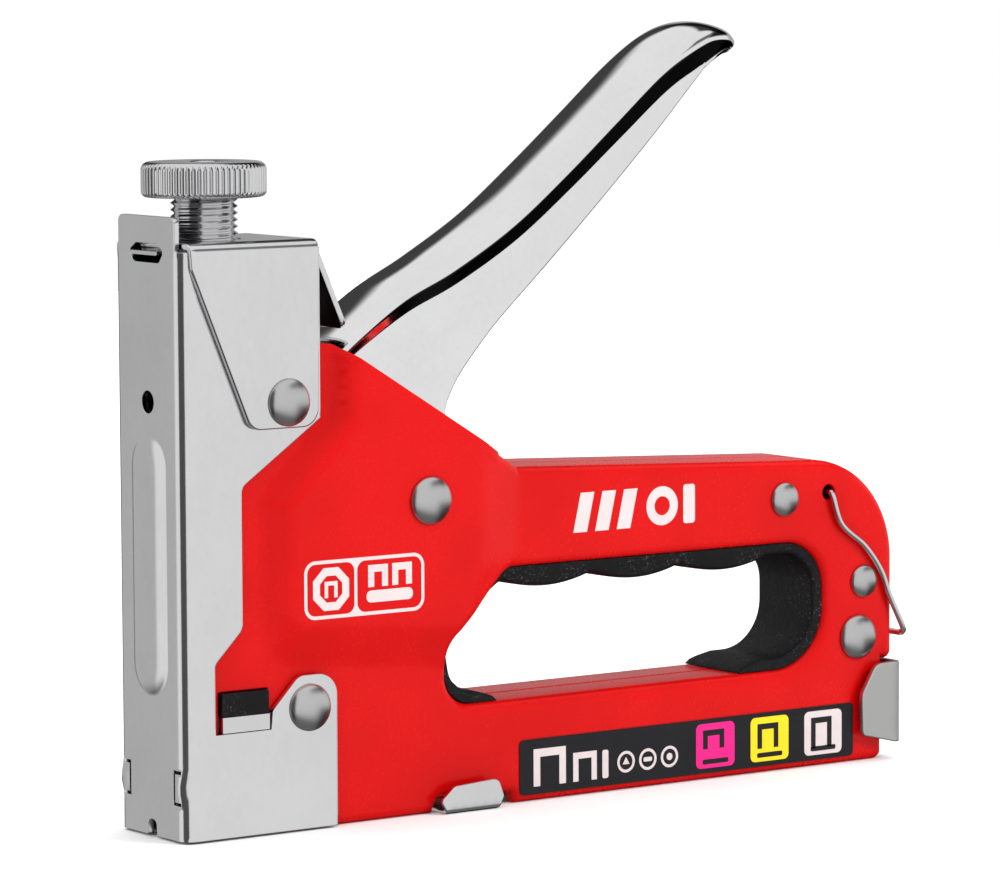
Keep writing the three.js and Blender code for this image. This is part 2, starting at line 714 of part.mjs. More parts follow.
// One cross-section of the handle as half-width and depth pairs, from the crown down one side.
function handleRing([x, z, depth, tilt], narrow, inset) {
  const cap = (CAP_HALF - inset) * narrow;
  const leg = (LEG_HALF - inset) * narrow;
  const step = Math.min(5.5, depth * 0.55);
  const round = Math.min(4, depth * 0.4);
  const top = inset;
  const shoulder = Math.max(step - 0.6 + inset * 0.3, top + round + 0.1);
  const side = [
    [cap * 0.45, top + round * 0.08],
    [cap - round * 0.35, top + round * 0.45],
    [cap, top + round],
    [cap, shoulder],
    [leg, shoulder + 1.2 * narrow],
    [leg, depth + (inset > 0 ? 3 : 0)],
  ];
  const angle = THREE.MathUtils.degToRad(tilt);
  const down = new THREE.Vector3(Math.sin(angle), 0, -Math.cos(angle));
  const crown = new THREE.Vector3(x, 0, z);
  const place = (y, drop) => crown.clone().addScaledVector(down, drop).setY(y);
  const right = side.map(([y, drop]) => place(y, drop));
  const left = side.map(([y, drop]) => place(-y, drop)).reverse();
  return [place(0, top), ...right, ...left];
}

function handle() {
  const taper = (x) => {
    const share = Math.max(x - TIP_START, 0) / TIP_LENGTH;
    return Math.sqrt(Math.max(1 - share ** 2, 0.05));
  };
  const rings = HANDLE_STATIONS.map((station) => handleRing(station, taper(station[0]), 0));
  const hollow = HANDLE_STATIONS.slice(0, -3).map((s) => handleRing(s, taper(s[0]), SHEET));
  const [px, pz] = PIVOT;
  const lobe = AXLE_RADIUS + 5.8;
  const legSide = outline([
    [px - lobe, pz - lobe, lobe, 6],
    [px + lobe - 0.3, pz - lobe, lobe - 0.4, 6],
    [px + lobe - 0.4, pz + 16],
    [px + 12.4, pz + 27.8],
    [px + 8.4, pz + 38.8],
    [px - 8.6, pz + 31.3],
    [px - 13, pz + 25.8, 2],
  ]);
  const gap = outline([
    [px - 12, pz - 10],
    [px + 12, pz - 10],
    [px + 16.4, pz + 23.8],
    [px + 8.4, pz + 36.3],
    [px - 11.6, pz + 26.3],
  ]);
  const inner = LEG_HALF - SHEET;
  const frontEnd = handleRing([26, 80.7, 9, 42], 1, SHEET);
  return cut(
    join(loft(rings), slab(legSide, -LEG_HALF, LEG_HALF)),
    loft([frontEnd, ...hollow]),
    slab(gap, -inner, inner),
    pinAcross(px, pz, AXLE_RADIUS + RUN / 2, LEG_HALF + 1),
  );
}

function liftLever() {
  const [px, pz] = PIVOT;
  const [tx, tz] = LIFT_PIN;
  const arm = new THREE.Vector2(tx - px, tz - pz).normalize();
  const side = new THREE.Vector2(-arm.y, arm.x);
  const at = (x, z, reach) => [x + side.x * reach, z + side.y * reach];
  const web = [at(px, pz, 6), at(tx, tz, 3.4), at(tx, tz, -3.4), at(px, pz, -6)];
  return cut(
    join(slab(outline(web), -2.5, 2.5), pinAcross(px, pz, 7, 2.5), pinAcross(tx, tz, 3.6, 2.5)),
    pinAcross(px, pz, AXLE_RADIUS + RUN / 2, 4),
    pinAcross(tx, tz, LIFT_PIN_RADIUS + FIT, 4),
  );
}

function returnSpring() {
  const [px, pz] = PIVOT;
  const radius = AXLE_RADIUS + RUN + 1.0;
  const coil = new Helix(new THREE.Vector3(px, 3.3, pz), "y", radius, 2.7, 2.5);
  const wire = 0.5;
  const start = coil.getPoint(0);
  const end = coil.getPoint(1);
  const leg = (from, dx, dz) => {
    const to = from.clone().add(new THREE.Vector3(dx, 0, dz));
    return bar(new THREE.LineCurve3(from, to), wire, 1, 6);
  };
  return join(bar(coil, wire, 30, 6), leg(start, 0.5, -9), leg(end, -0.5, 13));
}

// ---- Fasteners, trim and wire ----

function rivet({ at, half, head, shank }) {
  const rise = head * 0.42;
  const seat = half + FIT / 2;
  const dome = [0, 0.45, 0.8, 1].map((share) => {
    return [head * share, seat + rise * Math.sqrt(Math.max(1 - share ** 2, 0))];
  });
  const upper = [...dome, [shank, seat]];
  const profile = [...upper, ...upper.map(([r, h]) => [r, -h]).reverse()];
  const points = profile.reverse().map(([r, h]) => new THREE.Vector2(r, h));
  const geometry = new THREE.LatheGeometry(points, 16);
  return solidOf(geometry.translate(at[0], 0, at[1]));
}

function bailWire() {
  const [x, z] = BAIL_PIVOT;
  const out = BODY_HALF + BAIL_WIRE + 0.25;
  const end = BODY_LENGTH + BAIL_WIRE + RUN + 1.4;
  const side = [
    [x, out - 3.4, z],
    [x, out - 0.7, z],
    [x + 0.3, out, z - 0.8],
    [x + 2.6, out, z - 6.6],
    [x + 8.4, out, z - 11.2],
    [x + 12.6, out, z - 16.4],
    [x + 15.2, out, z - 22.2],
    [end - 0.4, out, z - 28.4],
    [end, out - 0.9, z - 29.6],
    [end, out - 2.4, z - 29.8],
  ];
  const near = side.map(([px, py, pz]) => new THREE.Vector3(px, -py, pz));
  const far = side.map(([px, py, pz]) => new THREE.Vector3(px, py, pz)).reverse();
  const curve = new THREE.CatmullRomCurve3([...near, ...far], false, "centripetal");
  return bar(curve, BAIL_WIRE, 72, 6);
}

// The finger pad: a C-shaped lining with three finger hollows under the grip.
function gripLiner() {
  const wall = 2.2;
  const outer = outline(HOLE_CORNERS, FIT);
  const inner = outline(HOLE_CORNERS, FIT + wall);
  const start = HOLE_FRONT + 12;
  const stop = HOLE_BACK - 26;
  const onFloor = (p) => p.y < HOLE_FLOOR + FIT + wall + 0.1;
  const keep = (p) => !(onFloor(p) && p.x > start && p.x < stop);
  const floor = (ring) => ring.filter(keep);
  const split = (ring) => {
    const kept = floor(ring);
    const first = kept.findIndex((p) => onFloor(p) && p.x >= stop);
    return [...kept.slice(first), ...kept.slice(0, first)];
  };
  const outside = split(outer);
  const inside = split(inner);
  const foot = HOLE_FLOOR + FIT;
  const body = slab(
    [
      new THREE.Vector2(stop, foot + 0.4),
      new THREE.Vector2(stop + 1.5, foot),
      ...outside,
      new THREE.Vector2(start - 1.5, foot),
      new THREE.Vector2(start, foot + 0.4),
      ...inside.reverse(),
    ],
    -(BODY_HALF - 1.4),
    BODY_HALF - 1.4,
  );
  const lobeStart = HOLE_FRONT + 13.5;
  const lobeSpan = (HOLE_BACK - 14 - lobeStart) / 3;
  const lobes = [0, 1, 2].map((k) => {
    const left = lobeStart + k * lobeSpan;
    const sag = HOLE_ROOF - FIT - wall;
    const arc = Array.from({ length: 9 }, (_, i) => {
      const t = i / 8;
      const drop = 2 * Math.sin(Math.PI * t);
      return new THREE.Vector2(left + t * lobeSpan, sag + 0.4 - drop);
    });
    const lid = [new THREE.Vector2(left + lobeSpan, sag + 1), new THREE.Vector2(left, sag + 1)];
    return slab([...arc, ...lid], -(BODY_HALF - 1.4), BODY_HALF - 1.4);
  });
  return join(body, ...lobes);
}

function label() {
  const corners = [
    [76, 1.4, 1],
    [BODY_LENGTH - 10.6, 1.4, 1],
    [BODY_LENGTH - 10.6, 12.1, 1],
    [76, 12.1, 1],
  ];
  return slab(outline(corners), -(BODY_HALF + 0.25), -BODY_HALF);
}

// ---- Magazine ----

function channelSection(half, low, high, wall) {
  return [
    [-half, low],
    [half, low],
    [half, high],
    [half - wall, high],
    [half - wall, low + wall],
    [-half + wall, low + wall],
    [-half + wall, high],
    [-half, high],
  ].map(([y, z]) => new THREE.Vector2(y, z));
}

const MAGAZINE_FRONT = 4.5;
const CHANNEL_FLOOR = SOLE_STRAP + FIT;
const RAIL_FLOOR = CHANNEL_FLOOR + THIN_SHEET + FIT;
const RAIL_TOP = 12.4;
const CLIP_INNER_BACK = BODY_LENGTH - SHEET - 0.2;

function magazineChannel() {
  const points = channelSection(CHANNEL_HALF, CHANNEL_FLOOR, CHANNEL_TOP, THIN_SHEET);
  return section(points, MAGAZINE_FRONT, MAGAZINE_END);
}

function stapleRail() {
  const points = channelSection(RAIL_HALF, RAIL_FLOOR, RAIL_TOP, THIN_SHEET);
  const back = CLIP_INNER_BACK - FIT;
  const block = box(back - 5, back, -RAIL_HALF + 0.2, RAIL_HALF - 0.2, RAIL_FLOOR + 0.2, RAIL_TOP);
  const bore = section(circle(0, ROD_HEIGHT, ROD_RADIUS + FIT, 12), back - 6, back + 1);
  return cut(join(section(points, MAGAZINE_FRONT + 0.3, back), block), bore);
}

function guideRod() {
  return section(circle(0, ROD_HEIGHT, ROD_RADIUS, 12), MAGAZINE_FRONT + 1, CLIP_INNER_BACK - FIT);
}

const PUSHER_FRONT = MAGAZINE_FRONT + 0.5;
const PUSHER_LENGTH = 12;

function pusher() {
  const [x0, x1] = [PUSHER_FRONT, PUSHER_FRONT + PUSHER_LENGTH];
  const inner = RAIL_HALF + RUN;
  const outer = CHANNEL_HALF - THIN_SHEET - RUN;
  const top = RAIL_TOP + RUN;
  const saddle = cut(
    box(x0, x1, -outer, outer, 5, top + 1.2),
    box(x0 - 1, x1 + 1, -inner, inner, 4, top),
  );
  const web = box(x0, x1, -2.6, 2.6, 6.4, top + 0.1);
  return cut(
    join(saddle, web),
    section(circle(0, ROD_HEIGHT, ROD_RADIUS + RUN, 12), x0 - 1, x1 + 1),
  );
}

function pusherSpring() {
  const low = PUSHER_FRONT + PUSHER_LENGTH + 0.8;
  const high = CLIP_INNER_BACK - FIT - 6;
  const turns = 20;
  const coil = new Helix(new THREE.Vector3(low, 0, ROD_HEIGHT), "x", 2.2, high - low, turns);
  return bar(coil, 0.35, turns * 8, 4);
}

// A strap under the magazine whose ends turn up outside the shells as two wings.
function magazineStrap() {
  const outer = BODY_HALF + WING_STAND;
  const inner = outer - SOLE_STRAP;
  const wing = outline([
    [57.6, 0],
    [70.4, 0],
    [71.2, 4.9, 1.5],
    [60.6, 4.5, 1.5],
    [57.0, 1.6, 1],
  ]);
  const block = slab(wing, -outer, outer);
  return cut(block, box(50, 80, -inner, inner, SOLE_STRAP, 10));
}

function endClip() {
  const back = BODY_LENGTH - 0.2;
  const front = BODY_LENGTH - CLIP_LENGTH;
  const side = outline([
    [front + 0.6, 5.5, 1],
    [back - 0.4, 6.6, 2],
    [back, CLIP_TOP],
    [front + 5, CLIP_TOP, 5, 6],
    [front, 15.5, 2],
  ]);
  const bend = 1.6;
  const outer = outline([
    [front - 1, -CLIP_HALF],
    [back, -CLIP_HALF, bend],
    [back, CLIP_HALF, bend],
    [front - 1, CLIP_HALF],
  ]);
  const inner = outline([
    [front - 2, -CLIP_HALF + SHEET],
    [back - SHEET, -CLIP_HALF + SHEET, bend - SHEET],
    [back - SHEET, CLIP_HALF - SHEET, bend - SHEET],
    [front - 2, CLIP_HALF - SHEET],
  ]);
  const wrap = cut(plan(outer, 0, CLIP_TOP + 1), plan(inner, -1, CLIP_TOP + 2));
  return wrap.intersect(slab(side, -CLIP_HALF - 1, CLIP_HALF + 1));
}

// ---- Assembly ----

function finish(color, roughness, metalness) {
  return new THREE.MeshStandardMaterial({ color, roughness, metalness });
}

const FINISH = {
  red: finish(0xe3191b, 0.35, 0.0),
  chrome: finish(0xd4d4d6, 0.15, 1.0),
  nickel: finish(0xc4c4c6, 0.25, 1.0),
  steel: finish(0x8f9093, 0.4, 1.0),
  satin: finish(0xa3a3a1, 0.35, 1.0),
  spring: finish(0x5a5b5e, 0.35, 1.0),
  black: finish(0x131315, 0.7, 0.0),
  label: finish(0x0d0d0f, 0.4, 0.0),
};

const tool = new THREE.Group();

function add(name, solid, material, mirrored = false) {
  const mesh = new THREE.Mesh(geometryOf(solid), material);
  mesh.name = name;
  mesh.scale.y = mirrored ? -1 : 1;
  tool.add(mesh);
}

const nearShell = shell();
const nearLabel = label();
add("left_shell", nearShell, FINISH.red);
add("right_shell", nearShell, FINISH.red, true);
add("left_label", nearLabel, FINISH.label);
add("right_label", nearLabel, FINISH.label, true);
add("nose_cover", noseCover(), FINISH.chrome);
add("top_bracket", topBracket(), FINISH.chrome);
add("knob_head", knobHead(), FINISH.nickel);
add("knob_screw", knobScrew(), FINISH.nickel);
add("adjuster_nut", adjusterNut(), FINISH.steel);
add("spring_cap", springCap(), FINISH.steel);
add("main_spring", mainSpring(), FINISH.spring);
add("hammer", hammer(), FINISH.steel);
add("driver_blade", driverBlade(), FINISH.steel);
add("blade_guide", bladeGuide(), FINISH.steel);
add("bumper", lugged(22.9, 27.2, BODY_HALF + 0.9), FINISH.black);
add("bumper_plate", lugged(19.9, 22.8, BODY_HALF + 1.1), FINISH.nickel);
add("handle", handle(), FINISH.chrome);
add("lift_lever", liftLever(), FINISH.steel);
add("lift_pin", pinAcross(...LIFT_PIN, LIFT_PIN_RADIUS, SHELL_INNER - 0.6), FINISH.steel);
add("return_spring", returnSpring(), FINISH.spring);
add("bail_wire", bailWire(), FINISH.nickel);
add("grip_liner", gripLiner(), FINISH.black);
add("magazine_channel", magazineChannel(), FINISH.steel);
add("magazine_strap", magazineStrap(), FINISH.nickel);
add("staple_rail", stapleRail(), FINISH.steel);
add("guide_rod", guideRod(), FINISH.steel);
add("pusher", pusher(), FINISH.steel);
add("pusher_spring", pusherSpring(), FINISH.spring);
add("end_clip", endClip(), FINISH.satin);
Object.entries(RIVETS).forEach(([name, size]) => add(name, rivet(size), FINISH.nickel));

// The part's origin is the middle of its footprint, on the surface it stands on.
const bounds = new THREE.Box3().setFromObject(tool);
const middle = bounds.getCenter(new THREE.Vector3());
tool.position.set(-middle.x, -middle.y, -bounds.min.z);

export default tool;
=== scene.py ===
"""Looks of a hand-powered staple gun, built around its packed mechanical model.

Every sub-assembly is a class that builds its meshes in millimetres, in the tool's own frame (X from the
nose's front face to the tail, Y across, Z up from the sole), and puts them into the model's frame in metres.
"""

import logging
import math
from dataclasses import dataclass, field
from enum import Enum
from typing import Callable, Sequence

import bmesh
import bpy
import numpy as np
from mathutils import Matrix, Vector
from mathutils.geometry import delaunay_2d_cdt


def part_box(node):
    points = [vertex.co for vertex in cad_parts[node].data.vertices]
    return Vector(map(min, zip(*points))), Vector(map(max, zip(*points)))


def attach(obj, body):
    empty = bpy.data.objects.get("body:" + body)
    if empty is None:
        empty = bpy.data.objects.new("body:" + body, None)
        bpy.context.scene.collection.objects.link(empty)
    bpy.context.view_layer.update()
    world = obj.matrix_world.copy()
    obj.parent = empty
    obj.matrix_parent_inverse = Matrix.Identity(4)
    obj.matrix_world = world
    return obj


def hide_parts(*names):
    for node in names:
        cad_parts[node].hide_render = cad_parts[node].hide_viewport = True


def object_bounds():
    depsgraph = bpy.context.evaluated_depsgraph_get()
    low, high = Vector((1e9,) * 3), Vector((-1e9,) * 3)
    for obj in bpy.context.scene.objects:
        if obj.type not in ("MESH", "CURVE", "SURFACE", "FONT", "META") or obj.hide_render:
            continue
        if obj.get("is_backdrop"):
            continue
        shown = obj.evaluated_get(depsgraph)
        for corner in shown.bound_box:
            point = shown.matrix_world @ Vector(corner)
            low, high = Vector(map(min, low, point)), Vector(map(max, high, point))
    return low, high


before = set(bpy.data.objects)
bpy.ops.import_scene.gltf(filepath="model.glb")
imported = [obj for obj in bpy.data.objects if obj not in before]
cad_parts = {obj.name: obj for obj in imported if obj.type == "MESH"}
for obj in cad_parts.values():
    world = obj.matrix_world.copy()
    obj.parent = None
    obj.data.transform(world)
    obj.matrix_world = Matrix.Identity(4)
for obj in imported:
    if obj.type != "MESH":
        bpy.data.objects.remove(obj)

MODEL_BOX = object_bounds()
LOG = logging.getLogger("staple_gun")

Corner = tuple[float, ...]
Loop = np.ndarray
Place = Callable[[np.ndarray, np.ndarray, np.ndarray], np.ndarray]

MM = 0.001
SHEET = 1.2  # pressed steel of the shells, cover, bracket, handle and clip
SHELL_FRONT = 1.5  # front edge of the shells, behind the nose's face
BODY_HALF = 10.25
FIELD_HALF = 13.4
COVER_HALF = 11.75
BRACKET_HALF = 13.05
BRACKET_TOP = 110.3
BODY_LENGTH = 168.8
ORIGIN_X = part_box("left_shell")[0].x - SHELL_FRONT * MM


# ---- Shader graph ----


class Wire:
    """One output of a shader graph, so that node maths can be written as Python."""

    def __init__(self, graph: "Graph", socket: bpy.types.NodeSocket | None) -> None:
        """Keep the graph and its socket."""
        self.graph = graph
        self.socket = socket

    def _math(self, operation: str, *values: "Wire | float") -> "Wire":
        """Add a Math node.

        Args:
            operation: the Math node's operation.
            values: its inputs, in order.

        Returns:
            The node's value.
        """
        return self.graph.node("Math", {"operation": operation}, dict(enumerate(values)))

    def __add__(self, other: "Wire | float") -> "Wire":
        """Sum of two values."""
        return self._math("ADD", self, other)

    __radd__ = __add__

    def __sub__(self, other: "Wire | float") -> "Wire":
        """This value less the other."""
        return self._math("SUBTRACT", self, other)

    def __rsub__(self, other: float) -> "Wire":
        """The other value less this one."""
        return self._math("SUBTRACT", other, self)

    def __mul__(self, other: "Wire | float") -> "Wire":
        """Product of two values."""
        return self._math("MULTIPLY", self, other)

    __rmul__ = __mul__

    def smooth(self, low: float, high: float) -> "Wire":
        """Map low..high onto 0..1 with soft ends.

        Args:
            low: value that becomes 0.
            high: value that becomes 1.

        Returns:
            The mapped value.
        """
        settings = {"interpolation_type": "SMOOTHSTEP"}
        return self.graph.node("MapRange", settings, {"Value": self, "From Min": low, "From Max": high})


class Graph:
    """The node tree of one material or of the studio's surroundings."""

    def __init__(self, owner: bpy.types.Material | bpy.types.World) -> None:
        """Start an empty tree.

        Args:
            owner: the material or world that the tree belongs to.
        """
        owner.use_nodes = True
        self.owner = owner
        self.tree = owner.node_tree
        self.tree.nodes.clear()

    def node(
        self,
        kind: str,
        settings: dict[str, object] | None = None,
        inputs: dict[str | int, object] | None = None,
        output: str | int = 0,
    ) -> Wire:
        """Add any shader node.

        Args:
            kind: the node's type, without its ShaderNode prefix.
            settings: properties of the node, set before its sockets.
            inputs: values or wires for its sockets, by name or index.
            output: the socket that is handed back, by name or index.

        Returns:
            The chosen output.
        """
        made = self.tree.nodes.new("ShaderNode" + kind)
        for key, value in (settings or {}).items():
            setattr(made, key, value)
        for key, value in (inputs or {}).items():
            socket = made.inputs[key]
            if isinstance(value, Wire):
                self.tree.links.new(value.socket, socket)
            else:
                socket.default_value = value
        return Wire(self, made.outputs[output] if made.outputs else None)

    def place(self, stretch: tuple[float, float, float] = (1.0, 1.0, 1.0)) -> Wire:
        """Surface point in the piece's own frame, stretched along each axis."""
        point = self.node("TexCoord", output="Object")
        return self.node("VectorMath", {"operation": "MULTIPLY"}, {0: point, 1: stretch})

    def noise(self, point: Wire, size: float, detail: float = 3.0, rough: float = 0.5) -> Wire:
        """Noise whose features are about size millimetres across, from 0 to 1."""
        inputs = {"Vector": point, "Scale": 1 / (size * MM), "Detail": detail, "Roughness": rough}
        return self.node("TexNoise", inputs=inputs, output="Fac")

    def mix(self, share: Wire | float, low: Sequence[float], high: Sequence[float]) -> Wire:
        """A colour between two colours."""
        inputs = {0: share, 6: (*low, 1.0), 7: (*high, 1.0)}
        return self.node("Mix", {"data_type": "RGBA"}, inputs, output=2)

    def bump(self, height: Wire, depth: float, strength: float = 1.0) -> Wire:
        """A normal from a height in 0..1 that stands depth millimetres."""
        return self.node("Bump", inputs={"Strength": strength, "Distance": depth * MM, "Height": height})

    def surface(self, inputs: dict[str, object]) -> bpy.types.Material:
        """Close the graph with one principled shader.

        Args:
            inputs: its sockets' values or wires.

        Returns:
            The material.
        """
        shader = self.node("BsdfPrincipled", inputs=inputs)
        self.node("OutputMaterial", inputs={"Surface": shader})
        return self.owner


# ---- Finishes ----


@dataclass(frozen=True)
class Plating:
    """Bare or plated metal: fine streaks or mottling in its gloss, and soft ripples of the sheet.

    Attributes:
        name: the material's name.
        slot: the finish that a user of the part can change; not used.
        colour: its colour; its darkest patches are a little darker.
        roughness: its middle roughness.
        spread: how far the grain and the patches move the roughness.
        grain: stretch of the grain along each axis.
        grain_size: size of the grain, in millimetres.
        grain_depth: depth of the grain, in millimetres.
        ripple: depth of the sheet's soft ripples, in millimetres.
    """

    name: str
    slot: str
    colour: tuple[float, float, float]
    roughness: float
    spread: float = 0.06
    grain: tuple[float, float, float] = (1.0, 1.0, 1.0)
    grain_size: float = 0.5
    grain_depth: float = 0.002
    ripple: float = 0.01

    def material(self) -> bpy.types.Material:
        """Build the metal's material.

        Returns:
            The material.
        """
        graph = Graph(bpy.data.materials.new(self.name))
        point = graph.place(self.grain)
        streak = graph.noise(point, self.grain_size, 4.0, 0.6)
        patch = graph.noise(graph.place(), 14.0, 2.0)
        dark = tuple(0.94 * part for part in self.colour)
        tone = graph.mix((0.6 * patch + 0.4 * streak).smooth(0.3, 0.7), dark, self.colour)
        height = (self.grain_depth / self.ripple) * streak + patch
        roughness = self.roughness + self.spread * (streak + patch - 1.0)
        return graph.surface(
            {
                "Base Color": tone,
                "Metallic": 1.0,
                "Roughness": roughness,
                "Normal": graph.bump(height, self.ripple),
            }
        )


@dataclass(frozen=True)
class GlossPaint:
    """Baked gloss enamel: slight orange peel, faint colour drift and a clear top."""

    name: str
    slot: str
    colour: tuple[float, float, float]
    shade: tuple[float, float, float]

    def material(self) -> bpy.types.Material:
        """Build the enamel's material.

        Returns:
            The material.
        """
        graph = Graph(bpy.data.materials.new(self.name))
        point = graph.place()
        drift = graph.noise(point, 22.0, 2.0)
        peel = graph.noise(point, 0.7, 2.0, 0.4)
        speck = graph.noise(point, 0.16, 2.0)
        tone = graph.mix((0.75 * drift + 0.25 * speck).smooth(0.35, 0.65), self.shade, self.colour)
        return graph.surface(
            {
                "Base Color": tone,
                "Roughness": 0.26 + 0.08 * (peel - 0.5) + 0.06 * (drift - 0.5),
                "Specular IOR Level": 0.3,
                "Specular Tint": (1.0, 0.4, 0.4, 1.0),
                "Coat Weight": 0.04,
                "Coat Roughness": 0.08,
                "Normal": graph.bump(peel + 0.1 * speck, 0.0025),
            }
        )


@dataclass(frozen=True)
class GrainedRubber:
    """Soft black moulding with a leather-like pebble and pale dust in its grain."""

    name: str
    slot: str
    pebble: float
    relief: float

    def material(self) -> bpy.types.Material:
        """Build the rubber's material.

        Returns:
            The material.
        """
        graph = Graph(bpy.data.materials.new(self.name))
        point = graph.place()
        settings = {"feature": "SMOOTH_F1"}
        cells = graph.node("TexVoronoi", settings, {"Vector": point, "Scale": 1 / (self.pebble * MM)})
        fine = graph.noise(point, 0.4 * self.pebble, 3.0)
        dust = graph.noise(point, 0.35, 3.0, 0.7).smooth(0.58, 0.72)
        patch = graph.noise(point, 6.0, 2.0).smooth(0.35, 0.7)
        pebbles = 1.0 - cells
        tone = graph.mix(dust * patch, (0.005, 0.005, 0.006), (0.16, 0.16, 0.165))
        return graph.surface(
            {
                "Base Color": tone,
                "Roughness": 0.42 + 0.22 * fine,
                "Specular IOR Level": 0.22,
                "Normal": graph.bump(pebbles + 0.25 * fine, self.relief, 0.9),
            }
        )


@dataclass(frozen=True)
class PrintedInk:
    """A thin printed colour on film or paint: tiny screen grain and a satin surface."""

    name: str
    slot: str
    colour: tuple[float, float, float]
    roughness: float = 0.38

    def material(self) -> bpy.types.Material:
        """Build the ink's material.

        Returns:
            The material.
        """
        graph = Graph(bpy.data.materials.new(self.name))
        point = graph.place()
        grain = graph.noise(point, 0.12, 2.0, 0.7)
        cloud = graph.noise(point, 5.0, 2.0)
        thin = tuple(0.9 * part + 0.004 for part in self.colour)
        tone = graph.mix((0.5 * grain + 0.5 * cloud).smooth(0.3, 0.7), thin, self.colour)
        return graph.surface(
            {
                "Base Color": tone,
                "Specular IOR Level": 0.2,
                "Roughness": self.roughness + 0.12 * (cloud - 0.5),
                "Normal": graph.bump(grain, 0.003),
            }
        )


Finish = Plating | GlossPaint | GrainedRubber | PrintedInk


class Finishes(Enum):
    """Every finish of the tool."""

    RED = GlossPaint("red_enamel", "red", (0.57, 0.0025, 0.0025), (0.50, 0.002, 0.002))
    CHROME = Plating(
        "satin_chrome", "chrome", (0.83, 0.83, 0.84), 0.15, 0.03, (1.0, 1.0, 0.6), 1.4, 0.001, ripple=0.006
    )
    POLISHED = Plating(
        "polished_chrome", "chrome", (0.93, 0.93, 0.94), 0.06, 0.02, grain_size=1.2, grain_depth=0.001
    )
    NICKEL = Plating("nickel_plate", "nickel", (0.80, 0.80, 0.81), 0.15, 0.05, grain_size=0.6)
    DOME = Plating("domed_nickel", "nickel", (0.66, 0.66, 0.66), 0.30, 0.06, grain_size=0.6)
    STEEL = Plating("oiled_steel", "steel", (0.42, 0.42, 0.43), 0.34, 0.12, (1.0, 1.0, 0.2), 0.4, 0.004)
    SATIN = Plating(
        "blasted_steel", "satin", (0.72, 0.72, 0.71), 0.40, 0.10, grain_size=0.25, grain_depth=0.004
    )
    SPRING = Plating("spring_wire", "spring", (0.30, 0.30, 0.32), 0.28, 0.08, grain_size=0.5)
    RUBBER = GrainedRubber("bumper_rubber", "bumper_rubber", 0.5, 0.02)
    LINER = GrainedRubber("grained_pad", "liner", 1.1, 0.10)
    FILM = PrintedInk("label_film", "label", (0.010, 0.010, 0.012), 0.34)
    # Near-black painted shade for the shells' inner faces, standing in for the shadow between the two shells.
    PRIMER = PrintedInk("dark_primer", "red", (0.016, 0.010, 0.010), 0.6)
    # Near-black painted shade for the hidden undersides of the nose cover and the bracket, standing in for
    # the shadow inside them.
    RAW = Plating("raw_sheet", "chrome", (0.035, 0.035, 0.04), 0.35, 0.08, grain_size=0.6)
    WHITE_INK = PrintedInk("white_ink", "label", (0.66, 0.58, 0.58))
    PINK_INK = PrintedInk("pink_ink", "label", (0.80, 0.012, 0.22))
    YELLOW_INK = PrintedInk("yellow_ink", "label", (0.92, 0.66, 0.01))
    BLACK_INK = PrintedInk("black_ink", "label", (0.012, 0.012, 0.014))


_MATERIALS: dict[Finishes, bpy.types.Material] = {}


def material_of(finish: Finishes) -> bpy.types.Material:
    """Hand back the one material of a finish, made when it is first asked for.

    Args:
        finish: the finish.

    Returns:
        Its material.
    """
    if finish not in _MATERIALS:
        _MATERIALS[finish] = finish.value.material()
    return _MATERIALS[finish]


# ---- Flat geometry ----

WIDEST_STEP = 0.35  # radians that one straight step of a fillet may turn
SLIVER = 1e-5  # twice the area under which a triangle is dropped, in square millimetres


def unit(rows: np.ndarray) -> np.ndarray:
    """Rows scaled to unit length."""
    return rows / np.maximum(np.linalg.norm(rows, axis=-1, keepdims=True), 1e-12)


def cross2(a: np.ndarray, b: np.ndarray) -> np.ndarray:
    """Third component of the cross product of flat vectors."""
    return a[..., 0] * b[..., 1] - a[..., 1] * b[..., 0]


def outline(corners: Sequence[Corner], inset: float = 0.0, chord: float = 0.5) -> Loop:
    """A filleted outline.

    Args:
        corners: anticlockwise corners, each x, z and an optional fillet radius.
        inset: how far every edge moves inwards; fillets grow or shrink with it.
        chord: longest straight step along a fillet.

    Returns:
        The outline's points, one per row.
    """
    tips = np.array([corner[:2] for corner in corners], float)
    radii = [corner[2] if len(corner) > 2 else 0.0 for corner in corners]
    along = unit(np.roll(tips, -1, axis=0) - tips)
    start = tips + inset * np.stack([-along[:, 1], along[:, 0]], axis=1)
    before, before_start = np.roll(along, 1, axis=0), np.roll(start, 1, axis=0)
    bent = cross2(before, along)
    straight = np.abs(bent) < 1e-6
    reach = cross2(start - before_start, along) / np.where(straight, 1.0, bent)
    moved = np.where(straight[:, None], start, before_start + before * reach[:, None])
    points: list[np.ndarray] = []
    for i, tip in enumerate(moved):
        turn = float(cross2(before[i], along[i]))
        angle = math.acos(max(-1.0, min(1.0, float(before[i] @ along[i]))))
        side = math.copysign(1.0, turn)
        room = min(np.linalg.norm(tip - moved[i - 1]), np.linalg.norm(tip - moved[(i + 1) % len(moved)]))
        wanted = max(radii[i] - side * inset, 0.05) if radii[i] > 0 else 0.0
        tangent = min(wanted * math.tan(angle / 2), 0.49 * float(room))
        if tangent < 1e-6:
            points.append(tip)
            continue
        radius = tangent / math.tan(angle / 2)
        inward = np.array([-before[i][1], before[i][0]]) * side
        centre = tip - tangent * before[i] + radius * inward
        steps = max(3, math.ceil(angle * radius / chord), math.ceil(angle / WIDEST_STEP))
        for k in range(steps + 1):
            swing = side * angle * k / steps
            turned = np.array([[math.cos(swing), -math.sin(swing)], [math.sin(swing), math.cos(swing)]])
            points.append(centre - radius * turned @ inward)
    return np.array(points)


def circle(x: float, z: float, radius: float, steps: int = 32) -> Loop:
    """Draw an anticlockwise circle."""
    angle = np.linspace(0, 2 * math.pi, steps, endpoint=False)
    return np.stack([x + radius * np.cos(angle), z + radius * np.sin(angle)], axis=1)


